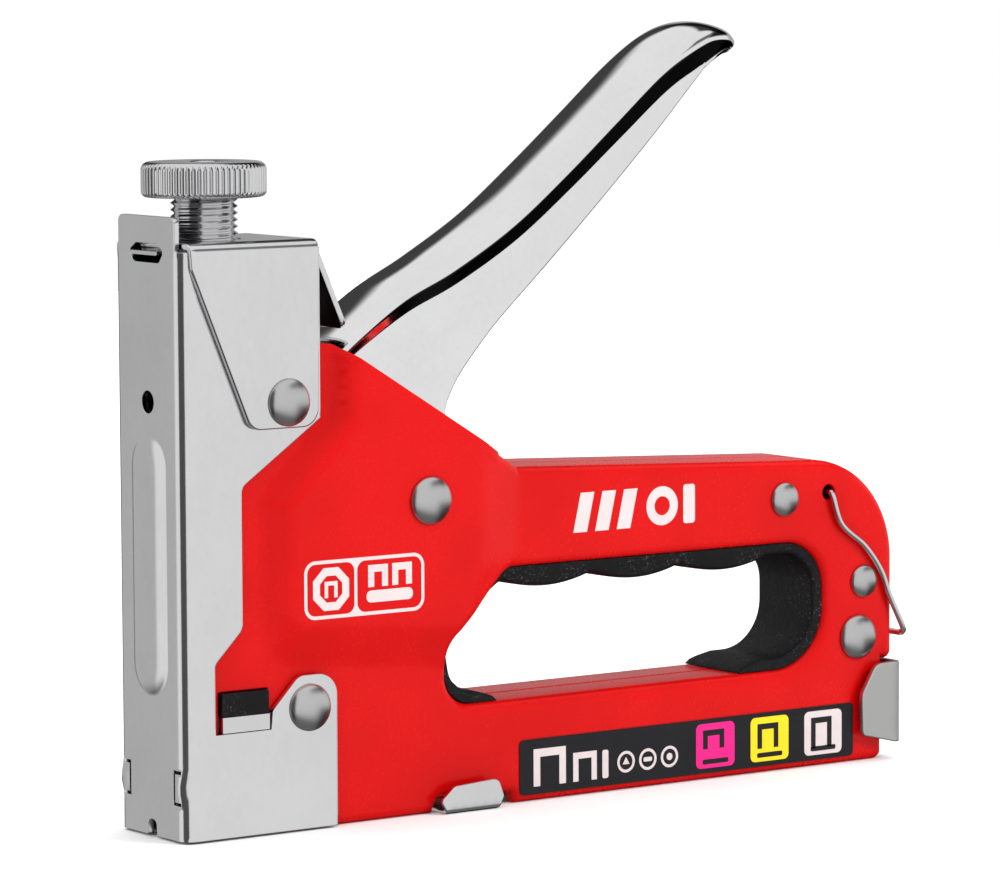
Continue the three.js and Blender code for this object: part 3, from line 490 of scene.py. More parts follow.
def evened(loop: Loop, spacing: float) -> Loop:
    """Divide the long sides of a loop.

    Args:
        loop: the loop.
        spacing: the longest step that is left.

    Returns:
        The divided loop.
    """
    points = []
    for a, b in zip(loop, np.roll(loop, -1, axis=0)):
        steps = max(1, math.ceil(np.linalg.norm(b - a) / spacing))
        points.extend(a + (b - a) * k / steps for k in range(steps))
    return np.array(points)


def outward(loop: Loop) -> np.ndarray:
    """Find the mitred normals to the right of a loop's run.

    Args:
        loop: an anticlockwise loop, or a clockwise one for normals that point into it.

    Returns:
        One normal per point, longer at corners so that offset sides stay parallel.
    """
    before = unit(loop - np.roll(loop, 1, axis=0))
    after = unit(np.roll(loop, -1, axis=0) - loop)
    normal = unit(np.stack([(before + after)[:, 1], -(before + after)[:, 0]], axis=1))
    spread = np.maximum(normal[:, 0] * after[:, 1] - normal[:, 1] * after[:, 0], 0.5)
    return normal / spread[:, None]


def depth_inside(points: np.ndarray, loop: Loop) -> np.ndarray:
    """Measure how deep points lie inside a loop.

    Args:
        points: one point per row.
        loop: the loop.

    Returns:
        Distance from each point to the loop, positive inside it.
    """
    a, b = loop, np.roll(loop, -1, axis=0)
    side = b - a
    length2 = np.maximum((side**2).sum(axis=1), 1e-12)
    best = np.full(len(points), np.inf)
    odd = np.zeros(len(points), bool)
    for p, s, q, l2 in zip(a, side, b, length2):
        t = np.clip(((points - p) @ s) / l2, 0, 1)
        best = np.minimum(best, ((points - p - t[:, None] * s) ** 2).sum(axis=1))
        spans = (p[1] > points[:, 1]) != (q[1] > points[:, 1])
        if spans.any():
            slope = s[0] / (s[1] if abs(s[1]) > 1e-12 else 1e-12)
            odd ^= spans & (points[:, 0] < p[0] + (points[:, 1] - p[1]) * slope)
    return np.where(odd, 1.0, -1.0) * np.sqrt(best)


def soft_step(t: np.ndarray, soft: float) -> np.ndarray:
    """Rise in a straight line from 0 to 1 with rounded ends.

    Args:
        t: where the rise is read; it starts at 0 and ends at 1.
        soft: half the length over which each end is rounded.

    Returns:
        The rise at each place.
    """

    def bend(u: np.ndarray) -> np.ndarray:
        """Straight rise from zero whose start is rounded."""
        return np.where(u < -soft, 0.0, np.where(u > soft, u, (u + soft) ** 2 / (4 * soft)))

    return bend(t) - bend(t - 1.0)


def flat_at(height: float) -> Callable[[np.ndarray], np.ndarray]:
    """Make a surface function for a sheet that is flat at one height."""
    return lambda flat: np.full(len(flat), height)


def on_side(side: float) -> Place:
    """Make a placing function for a pattern drawn in the side view: -1 is the left side, 1 the right."""
    return lambda u, v, h: np.stack([u, side * h, v], axis=1)


def ring_of(x: float, radius: np.ndarray | float, angle: np.ndarray, height: np.ndarray) -> Loop:
    """Draw a level or sloping ring about an upright axis.

    Args:
        x: place of the axis.
        radius: distance from the axis, one value or one per angle.
        angle: the angles round the axis.
        height: one height per angle.

    Returns:
        One point per angle.
    """
    return np.stack([x + radius * np.cos(angle), radius * np.sin(angle), height], axis=1)


# ---- Meshes ----


class Shape:
    """A mesh being drawn, in millimetres in the tool's own frame."""

    def __init__(self) -> None:
        """Start with nothing."""
        self.points: list[np.ndarray] = []
        self.faces: list[tuple[int, ...]] = []
        self.backs: list[int] = []
        self.count = 0

    def add(self, points: np.ndarray, faces: Sequence[Sequence[int]], flip: bool = False) -> None:
        """Add points and the faces between them.

        Args:
            points: one point per row.
            faces: indices into those points.
            flip: turn the faces round.
        """
        base = self.count
        for face in faces:
            indices = tuple(base + int(i) for i in face)
            self.faces.append(indices[::-1] if flip else indices)
        self.points.append(np.asarray(points, float))
        self.count += len(points)

    def grid(self, rows: np.ndarray, wrap: bool = False, flip: bool = False) -> None:
        """Add a surface through rows of points.

        Args:
            rows: array of rows, points in a row, and 3.
            wrap: join the end of each row to its start.
            flip: turn the faces round.
        """
        high, wide = rows.shape[:2]
        faces = []
        for start in range(0, (high - 1) * wide, wide):
            for j in range(wide if wrap else wide - 1):
                k = (j + 1) % wide
                faces.append((start + j, start + k, start + wide + k, start + wide + j))
        self.add(rows.reshape(-1, 3), faces, flip)

    def closed(self, rows: np.ndarray) -> None:
        """Add a skin through closed rows, with a flat cap at each end.

        Args:
            rows: array of rows, points in a row, and 3.
        """
        high, wide = rows.shape[:2]
        base = self.count
        self.grid(rows, wrap=True)
        self.faces.append(tuple(range(base + wide - 1, base - 1, -1)))
        self.faces.append(tuple(range(base + (high - 1) * wide, base + high * wide)))

    def build(
        self,
        name: str,
        finish: Finishes,
        body: str,
        replaces: Sequence[str] = (),
        crease: float = 35.0,
        back: Finishes | None = None,
    ) -> bpy.types.Object:
        """Make the piece and hang it on its body.

        Args:
            name: the piece's name.
            finish: what it is covered with.
            body: the moving body that it rides on.
            replaces: model nodes that it stands for.
            crease: edges sharper than this many degrees stay sharp.
            back: another finish for the hidden side of the sheet.

        Returns:
            The piece.
        """
        points = np.concatenate(self.points) * MM
        points[:, 0] += ORIGIN_X
        mesh = bpy.data.meshes.new(name)
        mesh.from_pydata(points.tolist(), [], self.faces)
        mesh.materials.append(material_of(finish))
        if back is not None:
            mesh.materials.append(material_of(back))
            for index in self.backs:
                mesh.polygons[index].material_index = 1
        work = bmesh.new()
        work.from_mesh(mesh)
        bmesh.ops.dissolve_degenerate(work, edges=work.edges, dist=1e-7)
        bmesh.ops.recalc_face_normals(work, faces=work.faces)
        work.to_mesh(mesh)
        work.free()
        piece = bpy.data.objects.new(name, mesh)
        bpy.context.scene.collection.objects.link(piece)
        mesh.shade_smooth()
        mesh.set_sharp_from_angle(angle=math.radians(crease))
        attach(piece, body)
        if replaces:
            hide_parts(*replaces)
        LOG.info("%s: %d faces on %s", name, len(mesh.polygons), body)
        return piece


@dataclass
class Rim:
    """One border of a pressed sheet's face.

    Attributes:
        loop: where the face ends and the rim starts to turn, in the sheet's pattern.
        bend: width of the rim outside that line: a flange's bend, or more than a bare edge's rounding.
        flange: where given, the height that the flange reaches at each point; not a number where
            the edge is bare.
    """

    loop: Loop
    bend: float = 0.35
    flange: Callable[[np.ndarray], np.ndarray] | None = None


@dataclass
class PressedSheet:
    """Sheet metal drawn as a flat pattern with heights, then folded into place.

    Attributes:
        rims: its outer border, then its holes.
        top: height of the outer face at each point of the pattern.
        place: takes two pattern coordinates and a height to points of the tool.
        sheet: thickness.
        spacing: distance between the points of its face.
        lines: loops that points have to lie on, along bends and crests.
        edge: rounding of a bare edge.
        flip: turn the faces round, for a placing that mirrors.
    """

    rims: list[Rim]
    top: Callable[[np.ndarray], np.ndarray]
    place: Place
    sheet: float = SHEET
    spacing: float = 1.5
    lines: list[Loop] = field(default_factory=list)
    edge: float = 0.22
    flip: bool = False

    def _pattern(self) -> tuple[np.ndarray, np.ndarray, list[Loop]]:
        """Triangulate the sheet's face inside its rims.

        Returns:
            Flat points, triangles, and each rim drawn in by its bend.
        """
        inner = [evened(rim.loop, self.spacing) for rim in self.rims]
        low, high = inner[0].min(axis=0), inner[0].max(axis=0)
        columns = np.arange(low[0], high[0], self.spacing)
        levels = np.arange(low[1], high[1], self.spacing * 0.87)
        mesh = np.array([(u + (j % 2) * self.spacing / 2, v) for j, v in enumerate(levels) for u in columns])
        room = depth_inside(mesh, inner[0])
        for loop in inner[1:]:
            room = np.minimum(room, -depth_inside(mesh, loop))
        for line in self.lines:
            room = np.minimum(room, np.abs(depth_inside(mesh, line)))
        mesh = mesh[room > 0.45 * self.spacing]
        loops = [*inner, *[evened(line, self.spacing) for line in self.lines]]
        points, edges = [], []
        for loop in loops:
            base = len(points)
            points.extend(Vector(p) for p in loop)
            edges.extend((base + k, base + (k + 1) % len(loop)) for k in range(len(loop)))
        points.extend(Vector(p) for p in mesh)
        out, _, faces, *_ = delaunay_2d_cdt(points, edges, [], 0, 1e-5)
        flat = np.array([tuple(p) for p in out])
        triangles = np.array([tuple(f) for f in faces])
        middle = flat[triangles].mean(axis=1)
        inside = depth_inside(middle, inner[0]) > 0
        for loop in inner[1:]:
            inside &= depth_inside(middle, loop) < 0
        corner = flat[triangles]
        size = cross2(corner[:, 1] - corner[:, 0], corner[:, 2] - corner[:, 0])
        triangles = triangles[inside & (np.abs(size) > SLIVER)]
        if size.sum() < 0:
            triangles = triangles[:, ::-1]
        used, back = np.unique(triangles, return_inverse=True)
        return flat[used], back.reshape(-1, 3), inner

    @staticmethod
    def _borders(triangles: np.ndarray) -> list[list[int]]:
        """Find the borders of a triangulation.

        Args:
            triangles: three indices per row.

        Returns:
            One chain of indices for each border.
        """
        sides = {(int(a), int(b)) for t in triangles for a, b in zip(t, np.roll(t, -1))}
        after = {a: b for a, b in sides if (b, a) not in sides}
        chains = []
        while after:
            start, chain = next(iter(after)), []
            here = start
            while here in after:
                chain.append(here)
                here = after.pop(here)
            chains.append(chain)
        return chains

    def _profile(self, rim: Rim, flat: np.ndarray, high: np.ndarray) -> tuple[np.ndarray, np.ndarray]:
        """Steps from the face's border over the rim to the back.

        Args:
            rim: the rim.
            flat: points on its line.
            high: height of the outer face at each point.

        Returns:
            Insets and heights, one row per step and one column per point.
        """
        low = high - self.sheet
        e, bend, t = self.edge, rim.bend, self.sheet
        turns = np.radians([0, 30, 60, 90])
        bare = [(e * (1 - math.sin(a)), high - e * (1 - math.cos(a))) for a in turns]
        bare += [(0.0, 0.5 * (high + low)), (0.0, low + e), (0.3 * e, low + 0.3 * e), (e, low)]
        bare += [(0.5 * (e + bend), low)]
        insets = np.array([[step[0]] * len(flat) for step in bare], float)
        heights = np.array([step[1] for step in bare], float)
        if rim.flange is None:
            return insets, heights
        end = rim.flange(flat)
        turned = ~np.isnan(end)
        quarter = np.radians([22.5, 45, 67.5, 90])
        folded = [(bend * (1 - math.sin(a)), high - bend * (1 - math.cos(a))) for a in quarter]
        folded += [(0.0, end + 0.15), (0.15, end), (t - 0.1, end), (t, end + 0.1)]
        folded += [(t, low - max(bend - t, 0.05))]
        for k, (inset, height) in enumerate(folded):
            insets[k] = np.where(turned, inset, insets[k])
            heights[k] = np.where(turned, height, heights[k])
        return insets, heights

    def draw(self, shape: Shape) -> None:
        """Add the folded sheet to a shape.

        Args:
            shape: the shape that takes it.
        """
        flat, triangles, inner = self._pattern()
        high = self.top(flat)
        count = len(flat)
        flats, heights = [flat, flat], [high, high - self.sheet]
        faces = [tuple(t) for t in triangles]
        faces += [tuple(int(i) + count for i in t[::-1]) for t in triangles]
        base = 2 * count
        for chain in self._borders(triangles):
            line = flat[chain]
            nearest = [float(np.linalg.norm(loop - line[0], axis=1).min()) for loop in inner]
            rim = self.rims[int(np.argmin(nearest))]
            insets, levels = self._profile(rim, line, high[chain])
            normal = outward(line)
            rings = [line + normal * (rim.bend - inset)[:, None] for inset in insets]
            indices = [list(chain)]
            for ring, level in zip(rings, levels):
                flats.append(ring)
                heights.append(level)
                indices.append(list(range(base, base + len(chain))))
                base += len(chain)
            indices.append([i + count for i in chain])
            size = len(chain)
            for upper, lower in zip(indices, indices[1:]):
                for k in range(size):
                    n = (k + 1) % size
                    faces.append((upper[n], upper[k], lower[k], lower[n]))
        first = len(shape.faces)
        shape.backs.extend(range(first + len(triangles), first + 2 * len(triangles)))
        spread, levels_all = np.concatenate(flats), np.concatenate(heights)
        shape.add(self.place(spread[:, 0], spread[:, 1], levels_all), faces, self.flip)


@dataclass(frozen=True)
class Fold:
    """A flat pattern bent into a U: a web across the tool and two legs.

    Attributes:
        half: half width outside the legs.
        bend: outer radius of the two bends.
        sheet: thickness.
    """

    half: float
    bend: float
    sheet: float = SHEET

    @property
    def flat_half(self) -> float:
        """Half width of the web between its bends."""
        return self.half - self.bend

    @property
    def arc(self) -> float:
        """Length of pattern taken by one bend."""
        return (self.bend - self.sheet / 2) * math.pi / 2

    def leg(self, depth: float) -> float:
        """Pattern coordinate of a place on a leg, depth away from the web's outer face."""
        return self.flat_half + self.arc + depth - self.bend

    def strips(self, low: float, high: float, spacing: float, count: int = 5) -> list[Loop]:
        """Lay loops along both bends, so that points of the face lie along them.

        Args:
            low: where they start along the bends.
            high: where they end.
            spacing: longest step along them.
            count: loops from the bends' inner line to their outer one.

        Returns:
            The loops.
        """
        places = [self.flat_half + self.arc * k / (count - 1) for k in range(count)]
        return [evened(np.array([(-s, low), (s, low), (s, high), (-s, high)]), spacing) for s in places]

    def put(self, s: np.ndarray, h: np.ndarray) -> tuple[np.ndarray, np.ndarray]:
        """Fold pattern coordinates.

        Args:
            s: coordinate across the pattern, 0 at the middle of the web.
            h: height above the inner face.

        Returns:
            Place across the tool, and depth behind the web's outer face.
        """
        size, side = np.abs(s), np.sign(s)
        angle = np.clip((size - self.flat_half) / self.arc, 0, 1) * math.pi / 2
        radius = self.bend - self.sheet + h
        past = np.maximum(size - self.flat_half - self.arc, 0)
        across = np.minimum(size, self.flat_half) + radius * np.sin(angle)
        depth = self.bend - radius * np.cos(angle) + past
        return side * across, depth


def mirrored(half_loop: Sequence[Corner]) -> list[Corner]:
    """Corners of a symmetric pattern from those of its positive side, anticlockwise from the middle."""
    return [*half_loop, *[(-corner[0], *corner[1:]) for corner in reversed(half_loop)]]


def tube(path: np.ndarray, radius: float, sides: int = 12, round_ends: bool = True) -> np.ndarray:
    """Rings of a round bar along a path.

    Args:
        path: points along the bar's middle line.
        radius: the bar's radius.
        sides: points per ring.
        round_ends: close both ends with a half ball.

    Returns:
        Rows of ring points.
    """
    tangent = unit(np.gradient(path, axis=0))
    up = np.array([0.0, 0.0, 1.0]) if abs(tangent[0][2]) < 0.9 else np.array([0.0, 1.0, 0.0])
    normals = []
    for t in tangent:
        up = unit(up - t * (up @ t))
        normals.append(up)
    normal = np.array(normals)
    side = np.cross(tangent, normal)
    angle = np.linspace(0, 2 * math.pi, sides, endpoint=False)
    spokes = normal[:, None] * np.cos(angle)[None, :, None] + side[:, None] * np.sin(angle)[None, :, None]
    rows = list(path[:, None] + radius * spokes)
    if round_ends:
        for turn in (0.45, 0.8, 0.97):
            shrink, out = radius * math.sqrt(1 - turn**2), radius * turn
            rows.insert(0, path[0] - tangent[0] * out + shrink * spokes[0])
            rows.append(path[-1] + tangent[-1] * out + shrink * spokes[-1])
    return np.array(rows)


def smooth_path(points: Sequence[Sequence[float]], steps: int = 8) -> np.ndarray:
    """Run a Catmull-Rom curve through points.

    Args:
        points: the points, of any number of columns.
        steps: steps from each point to the next.

    Returns:
        Points along the curve.
    """
    knots = np.array(points, float)
    padded = np.concatenate([[2 * knots[0] - knots[1]], knots, [2 * knots[-1] - knots[-2]]])
    out = []
    for a, b, c, d in zip(padded, padded[1:], padded[2:], padded[3:]):
        for t in np.linspace(0, 1, steps, endpoint=False):
            square, cube = 2 * a - 5 * b + 4 * c - d, 3 * b - a - 3 * c + d
            out.append(0.5 * (2 * b + (c - a) * t + square * t**2 + cube * t**3))
    out.append(knots[-1])
    return np.array(out)


# ---- Body ----

HOLE_CORNERS: list[Corner] = [
    (59.4, 20.1, 8.5),
    (151.4, 20.1, 12),
    (151.4, 45.4, 9.5),
    (72.8, 45.7, 6),
    (59.4, 33.1, 6),
]


@dataclass
class Shells:
    """The two pressed and painted shells, with the field raised over the mechanism.

    Attributes:
        corners: outline of one shell in the side view.
        foot: where the raised field's slope starts.
        crest: where the slope ends; both run off the shell's top.
        bend: outer radius of the turned-in edges.
        seam: half the gap between the two shells' turned-in edges.
        sole_wall: how near to the middle the edges reach beside the magazine.
        sole_reach: height up to which they do.
        throat_end: how far back the top is left open for the handle.
        window: side window over the bumper, as x and z ranges.
        bail_hole: x, z and radius of the bail wire's hole.
        lip_width: width of the dished border round the finger opening.
        lip_drop: its depth.
    """

    corners: list[Corner] = field(
        default_factory=lambda: [
            (SHELL_FRONT, 0),
            (56.1, 0),
            (57.3, 2.5, 0.8),
            (74.4, 2.3, 0.8),
            (75.3, 0),
            (166.2, 0, 1),
            (166.2, 20.2),
            (BODY_LENGTH, 20.2, 0.5),
            (BODY_LENGTH, 60.65, 29),
            (76.2, 64.8, 0.8),
            (71.2, 67.6, 0.5),
            (34, 90.4, 1.2),
            (28.5, 91.2),
            (28.5, 106.1),
            (SHELL_FRONT, 106.1),
        ]
    )
    foot: list[Corner] = field(
        default_factory=lambda: [
            (33.6, 98),
            (33, 76.6, 2),
            (18.6, 61.8, 3),
            (18.6, 31.3, 7),
            (62, 27.8, 1),
            (75.9, 45, 1),
            (76.7, 76),
        ]
    )
    crest: list[Corner] = field(
        default_factory=lambda: [
            (37, 98),
            (36.6, 76.2, 2),
            (22.2, 61.8, 3),
            (22.2, 38.9, 4),
            (62, 35.8, 1),
            (65.4, 46.5, 1),
            (65.4, 76),
        ]
    )
    bend: float = 1.7
    seam: float = 0.35
    sole_wall: float = 7.05
    sole_reach: float = 14.0
    throat_end: float = 70.0
    window: tuple[float, float, float, float] = (8.2, 19.0, 19.5, 27.4)
    bail_hole: Corner = (152.1, 55.0, 1.55)
    lip_width: float = 3.6
    lip_drop: float = 0.55

    def height(self, flat: np.ndarray) -> np.ndarray:
        """Find the half width of the shell.

        Args:
            flat: points of the side view.

        Returns:
            The half width at each of them.
        """
        foot = depth_inside(flat, outline(self.foot))
        crest = depth_inside(flat, outline(self.crest))
        rise = (FIELD_HALF - BODY_HALF) * soft_step(foot / np.maximum(foot - crest, 0.5), 0.09)
        near = -depth_inside(flat, outline(HOLE_CORNERS))
        aft = np.clip((flat[:, 0] - 84) / 30, 0, 1)
        low = np.clip((44 - flat[:, 1]) / 10, 0, 1)
        lip = self.lip_drop * aft * low * (1 - soft_step(near / self.lip_width, 0.3))
        return BODY_HALF + rise - lip

    def rim_end(self, flat: np.ndarray) -> np.ndarray:
        """Find how near to the middle plane the turned-in edge reaches.

        Args:
            flat: points on the edge.

        Returns:
            The distance from the middle plane, not a number where the edge is bare.
        """
        x, z = flat[:, 0], flat[:, 1]
        end = np.where(z < self.sole_reach, self.sole_wall, self.seam)
        bare = ((x < 28) & (z > 3)) | ((z > 60) & (x < self.throat_end))
        return np.where(bare | ((x < 3) & (z > 1)), np.nan, end)

    def build(self) -> list[bpy.types.Object]:
        """Build both shells.

        Returns:
            The left and the right shell.
        """
        x0, x1, z0, z1 = self.window
        window = outline([(x0, z0), (x1, z0), (x1, z1), (x0, z1)], -0.3)
        x, z, radius = self.bail_hole
        rims = [
            Rim(outline(self.corners, self.bend), self.bend, self.rim_end),
            Rim(outline(HOLE_CORNERS, -self.bend), self.bend, flat_at(self.seam)),
            Rim(window, 0.3),
            Rim(circle(x, z, radius + 0.3, 28), 0.3),
        ]
        lines = [outline(self.foot, d) for d in (-0.7, 0.7)] + [outline(self.crest, d) for d in (-0.7, 0.7)]
        pieces = []
        for name, side in (("left_shell", -1.0), ("right_shell", 1.0)):
            sheet = PressedSheet(rims, self.height, on_side(side), lines=lines, spacing=1.6, flip=side > 0)
            shape = Shape()
            sheet.draw(shape)
            # The shells' inner faces get the near-black painted shade.
            pieces.append(shape.build(name + "_skin", Finishes.RED, "frame", [name], 40, Finishes.PRIMER))
        return pieces


@dataclass
class NoseCover:
    """The chromed U over the nose: pressed rib, hole, slot, lanced tongues, notch and top tab.

    Attributes:
        fold: its bends round the nose's face.
        side: one side plate's edge, from the sole up, as x, z and fillet radius.
        sole: height of the face's lower edge.
        tab_half: half width of the tab over the face.
        tab_top: height of the tab.
        rib: half width, foot, top and depth of the pressed rib.
        rib_slope: width over which the rib rises.
        hole: height and radius of the round hole.
        tongue: inner and outer edge, foot and top of a lanced tongue, and the width of its slit.
        slot: one half of the slot that takes the bracket's lip.
    """

    fold: Fold = Fold(COVER_HALF, 2.4)
    side: list[Corner] = field(
        default_factory=lambda: [
            (33.4, 0.4),
            (33.4, 29.3, 6),
            (25, 29.3, 3),
            (19.1, 23.2, 1),
            (18.8, 19.8),
            (6.7, 19.8),
            (6.7, 32.8, 2),
            (12.8, 38.9, 2),
            (12.8, 65.1, 2.5),
            (30.2, 77),
            (30.2, 108.7),
        ]
    )
    sole: float = 0.4
    tab_half: float = 9.75
    tab_top: float = 115.0
    rib: tuple[float, float, float, float] = (6.0, 26.5, 74.7, 0.9)
    rib_slope: float = 5.2
    hole: tuple[float, float] = (80.8, 2.4)
    tongue: tuple[float, float, float, float, float] = (7.5, 9.9, 7.0, 13.5, 0.6)
    slot: list[Corner] = field(
        default_factory=lambda: [(4.4, 106.5, 1.0), (6.0, 108.6, 0.8), (3.6, 110.0, 1.0)]
    )

    def height(self, flat: np.ndarray) -> np.ndarray:
        """Find the outer face's height, with the pressed rib, a faint arc and the sprung tongues.

        Args:
            flat: points of the pattern.

        Returns:
            Their heights above the inner face.
        """
        rib = depth_inside(flat, self._stadium(0.0))
        rise = self.rib[3] * (1 - (1 - np.clip(rib / self.rib_slope, 0, 1)) ** 3)
        radius = np.hypot(flat[:, 0], flat[:, 1] - 17.2)
        arc = np.clip(1 - np.abs(radius - 3.2) / 0.5, 0, 1) * (flat[:, 1] > 18.2)
        tab = np.clip(1 - ((np.abs(flat[:, 0]) - 9.9) / 1.7) ** 2, 0, 1)
        tab = tab * np.clip(1 - ((flat[:, 1] - 10.25) / 2.9) ** 2, 0, 1) * (np.abs(flat[:, 0]) < 10.2)
        return SHEET + rise + 0.12 * arc + 0.45 * tab

    def _stadium(self, inset: float) -> Loop:
        """Draw the rib's outline.

        Args:
            inset: how far it is drawn in.

        Returns:
            The outline.
        """
        half, low, high, _ = self.rib
        edge = half - inset
        corners = [(-edge, low + inset), (edge, low + inset), (edge, high - inset), (-edge, high - inset)]
        return outline([(*c, edge - 0.05) for c in corners], chord=0.7)

    def _place(self, s: np.ndarray, z: np.ndarray, h: np.ndarray) -> np.ndarray:
        """Fold the pattern round the nose."""
        across, depth = self.fold.put(s, h)
        return np.stack([depth, across, z], axis=1)

    def build(self) -> bpy.types.Object:
        """Build the cover.

        Returns:
            The piece.
        """
        leg = self.fold.leg
        positive = [(leg(x), z, *r) for x, z, *r in self.side]
        top = positive[-1][1]
        tab = [(self.tab_half, top, 0.4), (self.tab_half, self.tab_top, 1.3)]
        half = [(1.6, self.sole, 0.2), *positive, *tab]
        corners = mirrored([(1.4, 3.4, 1.2), *half])
        rims = [Rim(outline(corners, 0.35)), Rim(outline(mirrored(self.slot), -0.3), 0.3)]
        rims.append(Rim(circle(0, *self.hole), 0.3))
        inner, outer, low, high, cut = self.tongue
        slit = [(inner, low), (outer, low), (outer, low + cut), (inner + cut, low + cut)]
        slit += [(s, low + high - z) for s, z in reversed(slit)]
        for side in (slit, [(-s, z) for s, z in reversed(slit)]):
            rims.append(Rim(outline(side, -0.12), 0.12))
        lines = [self._stadium(d) for d in (-0.35, 0.0, 0.5, 1.1, 1.9, 2.9)]
        lines += self.fold.strips(-5.0, 120.0, 1.6)
        sheet = PressedSheet(rims, self.height, self._place, lines=lines, spacing=1.8, flip=True, edge=0.1)
        shape = Shape()
        sheet.draw(shape)
        # The cover's hidden underside gets the near-black painted shade.
        return shape.build("nose_cover_skin", Finishes.CHROME, "frame", ["nose_cover"], 40, Finishes.RAW)


@dataclass
class TopBracket:
    """The chromed hat over the nose: two ears, a rear tongue and the front lip in the slot.

    Attributes:
        fold: its bends into the two ears.
        ear_foot: height of the ears' lower edge.
        back: where the top ends and the tongue starts.
        tongue_half: half width of the tongue.
        tongue_angle: how far the tongue bends down.
        tongue_length: length of the tongue's pattern.
        tongue_bend: outer radius of its bend.
        tongue_start: how far before the back its bend starts.
        screw: y, x and radius of the screw's hole.
    """

    fold: Fold = Fold(BRACKET_HALF, 1.8)
    ear_foot: float = 75.6
    back: float = 29.3
    tongue_half: float = 10.0
    tongue_angle: float = math.radians(65.5)
    tongue_length: float = 18.4
    tongue_bend: float = 1.8
    tongue_start: float = 0.3
    screw: Corner = (0.0, 12.6, 6.55)

    @property
    def _tongue_arc(self) -> float:
        """Length of pattern taken by the tongue's bend."""
        return (self.tongue_bend - SHEET / 2) * self.tongue_angle

    def _place(self, s: np.ndarray, x: np.ndarray, h: np.ndarray) -> np.ndarray:
        """Fold the ears down and the tongue back.

        Args:
            s: pattern coordinate across the tool.
            x: pattern coordinate along it.
            h: height above the inner face.

        Returns:
            The folded points.
        """
        across, depth = self.fold.put(s, h)
        z = BRACKET_TOP - depth
        start = self.back - self.tongue_start
        radius = self.tongue_bend - SHEET + h
        arc = self._tongue_arc
        turn = np.clip((x - start) / arc, 0, 1) * self.tongue_angle
        past = np.maximum(x - start - arc, 0)
        centre = BRACKET_TOP - self.tongue_bend
        bent_x = start + radius * np.sin(turn) + past * math.cos(self.tongue_angle)
        bent_z = centre + radius * np.cos(turn) - past * math.sin(self.tongue_angle)
        tongue = (x > start) & (np.abs(s) < self.tongue_half + 0.5)
        return np.stack([np.where(tongue, bent_x, x), across, np.where(tongue, bent_z, z)], axis=1)

    def _lip(self, shape: Shape) -> None:
        """Add the front lip that reaches through the cover's slot.

        Args:
            shape: the shape that takes it.
        """
        lip = [(-0.5, 107.9), (0.4, 107.9), (2.6, 108.9), (2.6, 109.3), (0.2, 108.8), (-0.5, 108.6)]
        rows = np.array([[(x, y, z) for x, z in lip] for y in (-4.6, -4.3, 4.3, 4.6)])
        rows[[0, -1], :, 2] = 108.4 + 0.6 * (rows[[0, -1], :, 2] - 108.4)
        shape.closed(rows)

    def build(self) -> bpy.types.Object:
        """Build the bracket.

        Returns:
            The piece.
        """
        foot = self.fold.leg(BRACKET_TOP - self.ear_foot)
        reach = self.back + self.tongue_length
        half = [
            (self.fold.flat_half + 1.4, 1.5),
            (self.fold.leg(BRACKET_TOP - 105.6), 1.8, 2),
            (foot, 14.4, 3),
            (foot, self.back - self.tongue_start, 3.5),
            (self.fold.flat_half + 0.9, self.back),
            (self.tongue_half, self.back + 0.05, 0.3),
            (self.tongue_half - 0.4, reach, 1.5),
        ]
        y, x, radius = self.screw
        rims = [Rim(outline(mirrored(half), 0.35)), Rim(circle(y, x, radius + 0.35, 48))]
        lines = self.fold.strips(-5.0, self.back, 1.6)
        inner = self.tongue_half - 0.8
        for k in range(5):
            x = self.back - self.tongue_start + self._tongue_arc * k / 4
            band = np.array([(-inner, x), (inner, x), (inner, x + 0.05), (-inner, x + 0.05)])
            lines.append(evened(band, 1.6))
        shape = Shape()
        PressedSheet(rims, flat_at(SHEET), self._place, lines=lines, spacing=1.8, edge=0.3).draw(shape)
        self._lip(shape)
        # The bracket's hidden underside gets the near-black painted shade.
        return shape.build("top_bracket_skin", Finishes.CHROME, "frame", ["top_bracket"], 40, Finishes.RAW)


